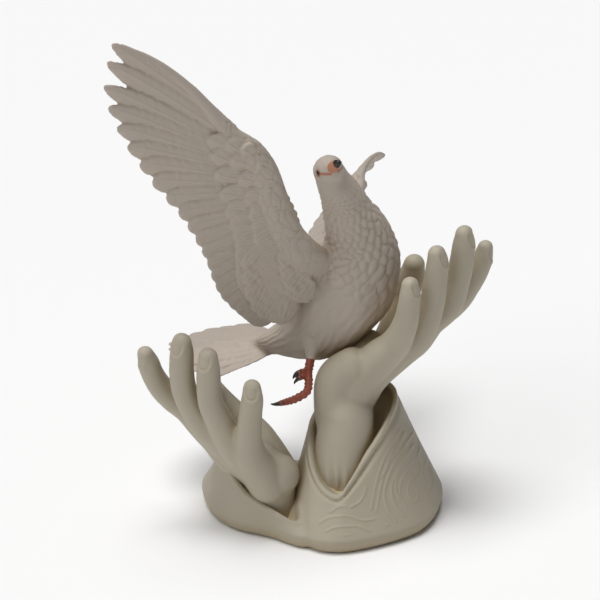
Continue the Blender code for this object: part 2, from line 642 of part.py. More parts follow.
def build():
    """Both castings, the hands cut clear of the bird that they carry."""
    for thing in list(bpy.data.objects):
        bpy.data.objects.remove(thing)
    figure = bpy.data.collections.new("dove_statue")
    cutters = bpy.data.collections.new("cutters")
    for collection in (figure, cutters):
        bpy.context.scene.collection.children.link(collection)
    bird = dove(figure)
    carrier = thinned(hands(figure, cutters), HANDS_TRIANGLES)
    swollen = bpy.data.objects.new("bird_clearance", bird.data.copy())
    cutters.objects.link(swollen)
    grow = swollen.modifiers.new("clearance", 'DISPLACE')
    grow.strength = SEAT_GAP
    grow.mid_level = 0.0
    cut(carrier, bake(swollen))
    level_underside(carrier)
    tidy(carrier)
    for thing in cutters.objects:
        thing.hide_render = True
        thing.display_type = 'WIRE'
    finish(bird, *BISQUE_BIRD)
    finish(carrier, *BISQUE)


build()
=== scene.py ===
"""Looks of the dove statue: a bisque dove that takes off from two open hands in cuffed sleeves.

Lengths are in units of the pose, of which the statue is FIGURE_TOP high, and are turned into metres
from the height of the loaded frame. X is the viewer's right, Y runs away from the viewer, Z is up.
"""
import logging
import math
from dataclasses import dataclass, field
from enum import IntEnum
from typing import Iterable, Sequence

import bpy
import numpy as np
from mathutils import Matrix, Vector
from mathutils.bvhtree import BVHTree


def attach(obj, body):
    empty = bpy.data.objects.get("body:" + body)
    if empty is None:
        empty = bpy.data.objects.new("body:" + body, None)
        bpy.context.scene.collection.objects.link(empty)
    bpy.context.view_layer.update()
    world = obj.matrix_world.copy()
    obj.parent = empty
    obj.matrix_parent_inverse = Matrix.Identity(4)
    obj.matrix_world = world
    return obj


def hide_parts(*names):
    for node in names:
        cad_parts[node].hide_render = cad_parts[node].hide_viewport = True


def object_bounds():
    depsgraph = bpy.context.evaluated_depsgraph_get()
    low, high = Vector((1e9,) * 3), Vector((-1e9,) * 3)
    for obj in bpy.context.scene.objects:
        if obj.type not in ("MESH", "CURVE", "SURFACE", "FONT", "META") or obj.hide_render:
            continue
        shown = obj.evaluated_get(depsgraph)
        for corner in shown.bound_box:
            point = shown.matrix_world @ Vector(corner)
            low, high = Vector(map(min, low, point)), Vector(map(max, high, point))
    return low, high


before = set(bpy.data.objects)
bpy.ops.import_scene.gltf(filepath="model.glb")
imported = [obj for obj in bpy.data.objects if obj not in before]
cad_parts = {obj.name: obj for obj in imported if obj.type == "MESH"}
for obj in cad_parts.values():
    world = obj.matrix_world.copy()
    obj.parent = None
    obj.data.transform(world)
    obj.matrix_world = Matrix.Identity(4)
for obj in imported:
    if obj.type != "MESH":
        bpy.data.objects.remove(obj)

CAD_LOW, CAD_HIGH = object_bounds()
FIGURE_TOP = 297.7
UNIT = CAD_HIGH.z / FIGURE_TOP
LOG = logging.getLogger("dove_statue")
# Share of a feather's length that rounds off at its root
ROOT_ROUND = 0.03
# Waves that add up to irregular values
WAVES = 7
# Faces that meet at less than this many degrees are shaded as one smooth skin
SMOOTH_BELOW = 75.0
UP = np.array((0.0, 0.0, 1.0))

Stations = Sequence[Sequence[float]]
Colour = tuple[float, float, float]


class Kind(IntEnum):
    """What a point of the fused skin belongs to."""
    TRUNK = 0
    SKULL = 1
    ARM = 2
    FLIGHT = 3
    COVERT = 4
    TUFT = 5
    TAIL = 6
    LIMB = 7
    CLOTH = 8
    THIGH = 9


# Small helpers on arrays

def unit(vector: Sequence[float]) -> np.ndarray:
    """The vector with length one."""
    array = np.asarray(vector, float)
    return array / np.linalg.norm(array)


def smooth_run(points: Stations, where: np.ndarray, closed: bool = False) -> np.ndarray:
    """Values on a smooth run through given rows.

    Args:
        points: the rows that the run passes through.
        where: places on the run, 0 at the first row, 1 at the second and so on.
        closed: whether the run returns to its first row.

    Returns:
        One row of values for each place.
    """
    rows = np.asarray(points, float)
    count = len(rows)
    base = np.floor(where).astype(int)
    if not closed:
        base = np.clip(base, 0, count - 2)
    t = (where - base)[:, None]
    picks = [base + k for k in (-1, 0, 1, 2)]
    if closed:
        picks = [pick % count for pick in picks]
    else:
        picks = [np.clip(pick, 0, count - 1) for pick in picks]
    a, b, c, d = (rows[pick] for pick in picks)
    return 0.5 * (2 * b + (c - a) * t + (2 * a - 5 * b + 4 * c - d) * t ** 2
                  + (3 * b - a - 3 * c + d) * t ** 3)


def ease(values: np.ndarray, low: float, high: float) -> np.ndarray:
    """A soft step from 0 at low to 1 at high."""
    t = np.clip((values - low) / (high - low), 0.0, 1.0)
    return t * t * (3.0 - 2.0 * t)


def bell(values: np.ndarray, width: float) -> np.ndarray:
    """A bump of height one about zero."""
    return np.exp(-(values / width) ** 2)


def wander(points: np.ndarray, size: float, seed: int) -> np.ndarray:
    """Smooth, irregular values about zero.

    Args:
        points: places, one row each.
        size: about how far apart the swings are.
        seed: seed of the waves.

    Returns:
        One value for each place.
    """
    dice = np.random.RandomState(seed)
    total = np.zeros(len(points))
    for _ in range(WAVES):
        direction = unit(dice.normal(size=points.shape[1]))
        pitch = size * dice.uniform(0.7, 1.6)
        total += np.sin(points @ direction * (2 * math.pi / pitch) + dice.uniform(0, 2 * math.pi))
    return total / math.sqrt(WAVES)


def dots(first: np.ndarray, second: np.ndarray) -> np.ndarray:
    """The dot product of each row of one array with the same row of another."""
    return np.einsum("ij,ij->i", first, second)


# Blender helpers

def clear_selection() -> None:
    """Deselect everything."""
    bpy.ops.object.select_all(action='DESELECT')


def choose(*things: bpy.types.Object) -> None:
    """Select only these objects.

    Args:
        things: the objects, the first of which is made active.
    """
    clear_selection()
    for thing in things:
        thing.select_set(True)
    bpy.context.view_layer.objects.active = things[0]


def modify(thing: bpy.types.Object, kind: str, **settings: object) -> None:
    """Add a modifier and apply it.

    Args:
        thing: the object.
        kind: the modifier's type.
        settings: the modifier's properties and their values.
    """
    step = thing.modifiers.new(kind.lower(), kind)
    for name, value in settings.items():
        setattr(step, name, value)
    choose(thing)
    bpy.ops.object.modifier_apply(modifier=step.name)


def joined(things: Sequence[bpy.types.Object], name: str) -> bpy.types.Object:
    """Join several objects.

    Args:
        things: the objects.
        name: the name of the whole.

    Returns:
        The one object that they now are.
    """
    choose(*things)
    bpy.ops.object.join()
    whole = bpy.context.view_layer.objects.active
    whole.name = name
    return whole


def read(mesh: bpy.types.Mesh, name: str = "co") -> np.ndarray:
    """Places or normals of a mesh's points.

    Args:
        mesh: the mesh.
        name: co for places, normal for normals.

    Returns:
        One row for each point.
    """
    values = np.empty(len(mesh.vertices) * 3)
    mesh.vertices.foreach_get(name, values)
    return values.reshape(-1, 3)


def place(mesh: bpy.types.Mesh, points: np.ndarray) -> None:
    """Move a mesh's points."""
    mesh.vertices.foreach_set("co", points.ravel())
    mesh.update()


def note(mesh: bpy.types.Mesh, name: str, values: np.ndarray) -> None:
    """Keep a number for each point in a named attribute."""
    layer = mesh.attributes.get(name) or mesh.attributes.new(name, 'FLOAT', 'POINT')
    layer.data.foreach_set("value", np.ascontiguousarray(values, np.float32))


def noted(mesh: bpy.types.Mesh, name: str) -> np.ndarray:
    """The numbers of a named attribute.

    Args:
        mesh: the mesh.
        name: the attribute.

    Returns:
        One number for each point.
    """
    values = np.empty(len(mesh.vertices), np.float32)
    mesh.attributes[name].data.foreach_get("value", values)
    return values.astype(float)


@dataclass
class Stock:
    """Spheres, one for each fineness, that limbs and feathers are copied and shaped from."""
    kept: dict = field(default_factory=dict)

    def take(self, sides: int, rings: int) -> tuple:
        """A fresh copy of a sphere's mesh.

        Args:
            sides: faces around.
            rings: bands of faces from pole to pole.

        Returns:
            The mesh, each point's ring from 0 to rings, its turn about the axis, and whether it
            is a pole.
        """
        key = (sides, rings)
        if key not in self.kept:
            clear_selection()
            bpy.ops.mesh.primitive_uv_sphere_add(segments=sides, ring_count=rings, radius=1.0)
            ball = bpy.context.object
            points = read(ball.data)
            ring = np.rint(np.arccos(np.clip(-points[:, 2], -1, 1)) / math.pi * rings).astype(int)
            turn = np.arctan2(points[:, 1], points[:, 0])
            pole = (ring == 0) | (ring == rings)
            self.kept[key] = (ball.data, ring, turn, pole)
            bpy.data.objects.remove(ball)
        mesh, ring, turn, pole = self.kept[key]
        return mesh.copy(), ring, turn, pole


STOCK = Stock()


@dataclass
class Source:
    """The plain shapes that one casting is fused from, with what each is."""
    kinds: list = field(default_factory=list)
    lengths: list = field(default_factory=list)
    widths: list = field(default_factory=list)
    things: list = field(default_factory=list)

    def add(self, mesh: bpy.types.Mesh, points: np.ndarray, name: str, kind: Kind, length: float,
            width: float, along: np.ndarray, across: np.ndarray, face: np.ndarray) -> bpy.types.Object:
        """Keep a shaped mesh.

        Args:
            mesh: the mesh to shape.
            points: where its points go, in units.
            name: its name.
            kind: what it is.
            length: its length.
            width: its width.
            along: 0 at its root to 1 at its tip, for each point.
            across: -1 to 1 over its width.
            face: 1 on the side that it faces, -1 on its back.

        Returns:
            The object.
        """
        place(mesh, points * UNIT)
        thing = bpy.data.objects.new(name, mesh)
        bpy.context.scene.collection.objects.link(thing)
        for label, values in (("along", along), ("across", across), ("face", face)):
            note(mesh, label, values)
        note(mesh, "ident", np.full(len(points), float(len(self.kinds))))
        self.kinds.append(int(kind))
        self.lengths.append(length)
        self.widths.append(width)
        self.things.append(thing)
        return thing

    def limb(self, stations: Stations, facing: Sequence[float], name: str, kind: Kind,
             sides: int = 28, rings: int = 52, ends: int = 6) -> bpy.types.Object:
        """A round-ended limb.

        Args:
            stations: rows of x, y, z, half width and half depth.
            facing: the direction that its depth lies along.
            name: its name.
            kind: what it is.
            sides: faces around.
            rings: bands of faces along.
            ends: bands in each round end.

        Returns:
            The object.
        """
        mesh, ring, turn, pole = STOCK.take(sides, rings)
        steps = rings - 2 * ends
        run = smooth_run(stations, np.linspace(0, len(stations) - 1, steps + 1))
        centres = run[:, :3]
        tangents = np.gradient(centres, axis=0)
        tangents /= np.linalg.norm(tangents, axis=1)[:, None]
        wide = np.cross(unit(facing), tangents)
        wide /= np.linalg.norm(wide, axis=1)[:, None]
        deep = np.cross(tangents, wide)
        level = np.clip(ring - ends, 0, steps)
        over = np.clip(np.abs(ring - ends - level) / ends, 0, 1)
        sign = np.where(ring < ends, -1.0, 1.0)
        shrink = np.cos(over * math.pi / 2)
        shrink[pole] = 0.0
        half_wide, half_deep = run[level, 3], run[level, 4]
        reach = np.sin(over * math.pi / 2) * np.minimum(half_wide, half_deep) * sign
        points = (centres[level] + tangents[level] * reach[:, None]
                  + wide[level] * (half_wide * shrink * np.cos(turn))[:, None]
                  + deep[level] * (half_deep * shrink * np.sin(turn))[:, None])
        length = float(np.linalg.norm(np.diff(centres, axis=0), axis=1).sum())
        return self.add(mesh, points, name, kind, length, float(run[:, 3].mean() * 2), level / steps,
                        np.cos(turn), np.sin(turn))

    def ball(self, centre: Sequence[float], radii: Sequence[float], axes: Sequence[Sequence[float]],
             name: str, kind: Kind) -> bpy.types.Object:
        """An ellipsoid.

        Args:
            centre: its centre.
            radii: its three radii.
            axes: the directions that they lie along.
            name: its name.
            kind: what it is.

        Returns:
            The object.
        """
        sides, rings = 36, 24
        mesh, ring, turn, _ = STOCK.take(sides, rings)
        local = read(mesh) * np.asarray(radii)
        points = np.asarray(centre) + local @ np.array([unit(axis) for axis in axes])
        return self.add(mesh, points, name, kind, radii[2] * 2, radii[0] * 2, ring / rings,
                        np.cos(turn), np.sin(turn))

    def feather(self, root: np.ndarray, tip: np.ndarray, normal: np.ndarray, width: float, name: str,
                kind: Kind, narrow: float, blunt: float, thick: float, tilt: float) -> bpy.types.Object:
        """A vane from root to tip, square to normal, with a round tip.

        Args:
            root: where it starts.
            tip: where it ends.
            normal: the way that its face looks.
            width: its full width.
            name: its name.
            kind: what it is.
            narrow: share of the width at the root.
            blunt: share of the length that rounds off at the tip.
            thick: its thickness.
            tilt: turn about its own shaft, in degrees.

        Returns:
            The object.
        """
        sides, rings = 20, 44
        mesh, ring, turn, pole = STOCK.take(sides, rings)
        shaft = tip - root
        length = float(np.linalg.norm(shaft))
        along = shaft / length
        side = unit(np.cross(along, normal))
        up = np.cross(side, along)
        spin = np.array(Matrix.Rotation(math.radians(tilt), 3, Vector(along)))
        side, up = spin @ side, spin @ up
        t = 0.5 - 0.5 * np.cos(ring / rings * math.pi)
        grow = narrow + (1.0 - narrow) * np.sin(0.5 * math.pi * np.minimum(1.0, t / 0.5))
        # A power of 2 rounds the tip like an ellipse, and more than that fills it out
        power = 2.5 if kind == Kind.FLIGHT else 2.0
        past = np.maximum(0.0, (t - 1.0 + blunt) / blunt)
        at_tip = np.sqrt(np.maximum(0.0, 1.0 - past ** power))
        at_root = np.where(t > ROOT_ROUND, 1.0, np.sqrt(np.maximum(t, 0.0) / ROOT_ROUND))
        close = np.where(t > 1.0 - blunt, at_tip, at_root)
        close[pole] = 0.0
        across = -0.5 * width * grow * close * np.cos(turn)
        rise = 0.5 * thick * np.minimum(1.0, close * 1.6) * np.sin(turn)
        points = root + np.outer(t, shaft) + np.outer(across, side) + np.outer(rise, up)
        return self.add(mesh, points, name, kind, length, width, t, np.cos(turn), np.sin(turn))


class Net:
    """The edges of a mesh, for averaging over neighbours."""

    def __init__(self, mesh: bpy.types.Mesh) -> None:
        """Read the edges.

        Args:
            mesh: the mesh.
        """
        ends = np.empty(len(mesh.edges) * 2, np.int32)
        mesh.edges.foreach_get("vertices", ends)
        self.first, self.second = ends.reshape(-1, 2).T.astype(np.int64)
        self.count = len(mesh.vertices)
        self.degree = np.maximum(np.bincount(np.concatenate((self.first, self.second)),
                                             minlength=self.count), 1)

    def mean(self, values: np.ndarray) -> np.ndarray:
        """The mean of each point's neighbours.

        Args:
            values: a number or a row of numbers for each point.

        Returns:
            The means, in the same shape.
        """
        table = values.reshape(self.count, -1)
        out = np.empty_like(table)
        for k in range(table.shape[1]):
            column = table[:, k]
            out[:, k] = (np.bincount(self.first, column[self.second], self.count)
                         + np.bincount(self.second, column[self.first], self.count)) / self.degree
        return out.reshape(values.shape)

    def smoothed(self, values: np.ndarray, rounds: int,
                 share: float | np.ndarray = 0.5) -> np.ndarray:
        """Values drawn towards their neighbours' mean.

        Args:
            values: a number or a row of numbers for each point.
            rounds: how many times they are drawn.
            share: how far they are drawn each time, from 0 to 1.

        Returns:
            The smoother values.
        """
        for _ in range(rounds):
            values = values + (self.mean(values) - values) * share
        return values


class Casting:
    """One fused skin that still knows which plain shape each of its points came from."""
    # Grain at which rounds of smoothing are counted
    usual_grain = 0.62
    # How far a round draws a point to its neighbours' mean at a seam, the share of that for shapes
    # that don't take part, and how fast the softening fades away from the seam
    pull = 0.6
    held = 0.15
    fade = 2.5
    # How strongly a round spreads the softening from a seam
    spreading = 0.9
    # Rounds that show what is hollow, and the depth of a full hollow
    hollow_rounds = 3
    hollow_depth = 0.16

    def __init__(self, source: Source, name: str, grain: float, rounds: int) -> None:
        """Fuse the shapes of a source.

        Args:
            source: the plain shapes.
            name: the name of the skin.
            grain: edge of a voxel, in units.
            rounds: rounds of smoothing after fusing.
        """
        whole = joined(source.things, name)
        old = whole.data
        old.calc_loop_triangles()
        corners = np.empty(len(old.loop_triangles) * 3, np.int32)
        old.loop_triangles.foreach_get("vertices", corners)
        self.corners = corners.reshape(-1, 3)
        self.old_points = read(old)
        self.old_notes = {key: noted(old, key) for key in ("along", "across", "face", "ident")}
        self.tree = BVHTree.FromPolygons(self.old_points.tolist(), self.corners.tolist())
        self.source = source
        self.thing = whole
        self.finer = (self.usual_grain / grain) ** 2
        modify(whole, 'REMESH', mode='VOXEL', voxel_size=grain * UNIT)
        modify(whole, 'SMOOTH', factor=0.5, iterations=rounds)
        self.mesh = whole.data
        self.net = Net(self.mesh)
        self.look_up()

    def steps(self, rounds: int) -> int:
        """How many rounds of smoothing reach as far here as the given number at the usual grain."""
        return max(1, round(rounds * self.finer))

    def look_up(self) -> None:
        """Find each point's place on the plain shapes."""
        points = read(self.mesh)
        find = self.tree.find_nearest
        hits = [find(point) for point in points.tolist()]
        spot = np.array([tuple(hit[0]) for hit in hits])
        face = np.array([hit[2] for hit in hits])
        tri = self.corners[face]
        a, b, c = (self.old_points[tri[:, k]] for k in range(3))
        ab, ac, ap = b - a, c - a, spot - a
        d00, d01, d11 = dots(ab, ab), dots(ab, ac), dots(ac, ac)
        d20, d21 = dots(ap, ab), dots(ap, ac)
        scale = np.maximum(d00 * d11 - d01 * d01, 1e-18)
        v = np.clip((d11 * d20 - d01 * d21) / scale, 0, 1)
        w = np.clip((d00 * d21 - d01 * d20) / scale, 0, 1)
        u = np.clip(1 - v - w, 0, 1)
        self.at = {key: values[tri[:, 0]] * u + values[tri[:, 1]] * v + values[tri[:, 2]] * w
                   for key, values in self.old_notes.items() if key != "ident"}
        self.ident = np.rint(self.old_notes["ident"][tri[:, 0]]).astype(int)
        self.kind = np.asarray(self.source.kinds)[self.ident]
        self.length = np.asarray(self.source.lengths)[self.ident]
        self.width = np.asarray(self.source.widths)[self.ident]

    def points(self) -> np.ndarray:
        """Places of the skin's points, in units."""
        return read(self.mesh) / UNIT

    def soften_joins(self, kinds: Iterable[Kind], spread: int, rounds: int, first: int = 0) -> None:
        """Round off the creases where two shapes of the given kinds meet.

        Args:
            kinds: kinds that flow into each other, or one kind whose shapes all do.
            spread: how many points the softening reaches to each side, at the usual grain.
            rounds: rounds of smoothing, at the usual grain.
            first: the first of the source's shapes that takes part.
        """
        wanted = [int(kind) for kind in kinds]
        soft = np.isin(self.kind, wanted) & (self.ident >= first)
        net = self.net
        which = self.kind if len(wanted) > 1 else self.ident
        mixed = (which[net.first] != which[net.second]) & soft[net.first] & soft[net.second]
        seam = np.zeros(net.count)
        seam[net.first[mixed]] = 1.0
        seam[net.second[mixed]] = 1.0
        reach = net.smoothed(seam, self.steps(spread), self.spreading)
        share = np.clip(reach / max(reach.max(), 1e-9) * self.fade, 0, 1)[:, None] * self.pull
        share[~soft] *= self.held
        place(self.mesh, net.smoothed(read(self.mesh), self.steps(rounds), share))

    def raise_by(self, height: np.ndarray) -> None:
        """Move each point out along the surface's own direction, by heights in units."""
        place(self.mesh, read(self.mesh) + read(self.mesh, "normal") * (height * UNIT)[:, None])

    def keep_hollows(self) -> None:
        """Note how hollow the skin is at each point, for the finish to paint shade into the hollows and
        a highlight on the edges.
        """
        base = read(self.mesh)
        blurred = self.net.smoothed(base, self.steps(self.hollow_rounds))
        depth = dots(blurred - base, read(self.mesh, "normal")) / (self.hollow_depth * UNIT)
        note(self.mesh, "hollow", np.clip(0.5 + 0.5 * depth, 0, 1))


def part_off(thing: bpy.types.Object, spot: Sequence[float], facing: Sequence[float],
             name: str) -> bpy.types.Object:
    """Cut an object in two with a plane and close both halves.

    Args:
        thing: the object, which keeps what lies behind the plane.
        spot: a place on the plane, in units.
        facing: the plane's direction.
        name: the name of the new object in front of the plane.

    Returns:
        The new object.
    """
    front = thing.copy()
    front.data = thing.data.copy()
    front.name = name
    bpy.context.scene.collection.objects.link(front)
    for half, inner in ((front, True), (thing, False)):
        choose(half)
        bpy.ops.object.mode_set(mode='EDIT')
        bpy.ops.mesh.select_all(action='SELECT')
        bpy.ops.mesh.bisect(plane_co=[c * UNIT for c in spot], plane_no=list(facing), use_fill=True,
                            clear_inner=inner, clear_outer=not inner)
        bpy.ops.object.mode_set(mode='OBJECT')
    return front


# Finishes

class Nodes:
    """A material in the making, with the kinds of node that the finishes share."""

    def __init__(self, name: str, roughness: float) -> None:
        """Start a material.

        Args:
            name: its name.
            roughness: its roughness.
        """
        self.made = bpy.data.materials.new(name)
        self.made.use_nodes = True
        self.tree = self.made.node_tree
        self.shader = self.tree.nodes["Principled BSDF"]
        self.shader.inputs["Roughness"].default_value = roughness
        self.where = self.tree.nodes.new("ShaderNodeTexCoord").outputs["Object"]

    def noise(self, size: float, detail: float) -> bpy.types.NodeSocket:
        """Soft random values.

        Args:
            size: about how far apart they swing, in metres.
            detail: how many finer layers they have.

        Returns:
            The values.
        """
        cloud = self.tree.nodes.new("ShaderNodeTexNoise")
        cloud.inputs["Scale"].default_value = 1.0 / size
        cloud.inputs["Detail"].default_value = detail
        self.tree.links.new(self.where, cloud.inputs["Vector"])
        return cloud.outputs["Fac"]

    def span(self, value: bpy.types.NodeSocket, source: Sequence[float],
             target: Sequence[float]) -> bpy.types.NodeSocket:
        """A value carried from one range to another, and held at its ends.

        Args:
            value: the value.
            source: the ends of its own range.
            target: the ends of the new range.

        Returns:
            The value in the new range.
        """
        node = self.tree.nodes.new("ShaderNodeMapRange")
        for label, end in zip(("From Min", "From Max", "To Min", "To Max"), (*source, *target)):
            node.inputs[label].default_value = end
        self.tree.links.new(value, node.inputs["Value"])
        return node.outputs["Result"]

    def blend(self, share: bpy.types.NodeSocket, below: Colour | bpy.types.NodeSocket,
              above: Colour | bpy.types.NodeSocket) -> bpy.types.NodeSocket:
        """Mix two colours.

        Args:
            share: the share of the second colour.
            below: the first colour.
            above: the second colour.

        Returns:
            The mixed colour.
        """
        node = self.tree.nodes.new("ShaderNodeMix")
        node.data_type = 'RGBA'
        self.tree.links.new(share, node.inputs["Factor"])
        colour_inputs = [socket for socket in node.inputs if socket.type == 'RGBA']
        for socket, colour in zip(colour_inputs, (below, above)):
            if isinstance(colour, tuple):
                socket.default_value = (*colour, 1.0)
            else:
                self.tree.links.new(colour, socket)
        return next(socket for socket in node.outputs if socket.type == 'RGBA')

    def kept(self, name: str) -> bpy.types.NodeSocket:
        """A number that the mesh carries at each point.

        Args:
            name: the attribute, which counts as 0 on a mesh without it.

        Returns:
            The number.
        """
        node = self.tree.nodes.new("ShaderNodeAttribute")
        node.attribute_name = name
        return node.outputs["Fac"]

    def finish(self, colour: bpy.types.NodeSocket, height: bpy.types.NodeSocket, strength: float,
               depth: float) -> bpy.types.Material:
        """Join colour and grain to the shader.

        Args:
            colour: the colour.
            height: the heights of the grain.
            strength: the strength of the grain.
            depth: the depth of the grain, in metres.

        Returns:
            The material.
        """
        bump = self.tree.nodes.new("ShaderNodeBump")
        bump.inputs["Strength"].default_value = strength
        bump.inputs["Distance"].default_value = depth
        self.tree.links.new(height, bump.inputs["Height"])
        self.tree.links.new(colour, self.shader.inputs["Base Color"])
        self.tree.links.new(bump.outputs["Normal"], self.shader.inputs["Normal"])
        return self.made


@dataclass(frozen=True)
class Bisque:
    """Matt unglazed ceramic with painted shade, a darker brownish tone in its hollows and shaded
    corners, a painted highlight that makes its edges a little paler, and painted light, a paler ochre
    colour, inside the cuffs.
    """
    name: str
    colour: Colour
    painted_shade: Colour
    dust: Colour
    roughness: float
    grain: float
    eyes: bool = False
    # Paler ochre colour painted inside the cuffs as painted light, where little light reaches
    inner: Colour = (0.84, 0.72, 0.50)
    specular: float = 0.35
    # Sizes of the cloudy tone and of the grain, in metres
    cloud_size: float = 0.030
    grain_size: float = 0.0011
    # How much paler an edge is painted, as a painted highlight
    edge_highlight_gain: float = 1.10
    # Depth of a hollow and share of the painted shade there, and the same for edges and the pale tone
    # of the painted highlight
    hollow: tuple = ((0.50, 0.95), (0.0, 0.55))
    edge: tuple = ((0.46, 0.15), (0.0, 0.55))
    # Reach of the shaded corners in metres, and openness there against the share of the painted shade
    corner_reach: float = 0.035
    corner: tuple = ((0.75, 0.15), (0.0, 0.62))

    def material(self) -> bpy.types.Material:
        """Make the finish.

        Returns:
            The material.
        """
        nodes = Nodes(self.name, self.roughness)
        nodes.shader.inputs["Specular IOR Level"].default_value = self.specular
        pale = tuple(min(1.0, part * self.edge_highlight_gain) for part in self.colour)
        tone = nodes.span(nodes.noise(self.cloud_size, 3.0), (0.35, 0.65), (0.0, 1.0))
        colour = nodes.blend(tone, self.colour, self.dust)
        # Painted shade: a darker brownish tone in the hollows of the relief
        colour = nodes.blend(nodes.span(nodes.kept("hollow"), *self.hollow), colour, self.painted_shade)
        # Painted highlight: ridges and edges a little paler
        colour = nodes.blend(nodes.span(nodes.kept("hollow"), *self.edge), colour, pale)
        # Painted shade: the darker brownish tone where nearby surfaces hide the light
        cover = nodes.tree.nodes.new("ShaderNodeAmbientOcclusion")
        cover.samples = 6
        cover.inputs["Distance"].default_value = self.corner_reach
        colour = nodes.blend(nodes.span(cover.outputs["AO"], *self.corner), colour, self.painted_shade)
        # Painted light: the paler ochre colour inside the cuffs
        colour = nodes.blend(nodes.kept("inner"), colour, self.inner)
        if self.eyes:
            colour = Head().paint_rings(nodes, colour)
        return nodes.finish(colour, nodes.noise(self.grain_size, 2.0), 0.35, self.grain)


@dataclass(frozen=True)
class Paint:
    """Thin brushed paint in two tones over the ceramic."""
    name: str
    colour: Colour
    second: Colour
    roughness: float
    size: float = 0.004
    depth: float = 0.0002

    def material(self) -> bpy.types.Material:
        """Make the finish.

        Returns:
            The material.
        """
        nodes = Nodes(self.name, self.roughness)
        strokes = nodes.noise(self.size, 4.0)
        colour = nodes.blend(strokes, self.colour, self.second)
        return nodes.finish(colour, strokes, 0.3, self.depth)


# Each ceramic's second colour is the darker brownish tone of its painted shade in hollows and shaded
# corners
BIRD_BISQUE = Bisque("bird_bisque", (0.455, 0.39, 0.335), (0.37, 0.27, 0.15), (0.43, 0.375, 0.32),
                     0.62, 0.00010, eyes=True)
HAND_BISQUE = Bisque("hand_bisque", (0.445, 0.40, 0.315), (0.41, 0.31, 0.16), (0.43, 0.385, 0.30),
                     0.58, 0.00006)
FOOT_PAINT = Paint("foot_paint", (0.36, 0.09, 0.045), (0.20, 0.045, 0.03), 0.42)
CLAW_PAINT = Paint("claw_paint", (0.012, 0.011, 0.010), (0.03, 0.026, 0.022), 0.32)
CERE_PAINT = Paint("cere_paint", (0.50, 0.20, 0.10), (0.38, 0.19, 0.12), 0.5)
EYE_PAINT = Paint("eye_paint", (0.010, 0.007, 0.006), (0.02, 0.010, 0.008), 0.12)


def hand_over(thing: bpy.types.Object, finish: bpy.types.Material, node: str) -> None:
    """Finish a piece and hand it to the frame.

    Args:
        thing: the piece, whose place is in its mesh.
        finish: its material.
        node: the node that it stands for.
    """
    thing.data.materials.clear()
    thing.data.materials.append(finish)
    choose(thing)
    bpy.ops.object.shade_smooth_by_angle(angle=math.radians(SMOOTH_BELOW))
    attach(thing, "root")
    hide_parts(node)
    faces = sum(len(face.vertices) - 2 for face in thing.data.polygons)
    LOG.info("%s: %d triangles", thing.name, faces)


# The bird

@dataclass(frozen=True)
class Row:
    """A row of feathers that lie side by side on a wing.

    Its line gives the feathers' tips from the wing's tip to the body, as span, chord, angle from the
    span in degrees, length and width. Its level is its height on the wing, and drop is how far the
    roots lie under the tips. Tilt is a feather's turn about its shaft in degrees, narrow the share of
    its width at the root, and blunt the share of its length in the round tip, which is outer at the
    wing's tip. Wider and longer are factors on the line's widths and lengths.
    """
    name: str
    line: tuple
    kind: Kind
    count: int
    level: float
    drop: float
    tilt: float
    thick: float
    narrow: float
    blunt: float
    outer: float
    wider: float = 1.0
    longer: float = 1.0


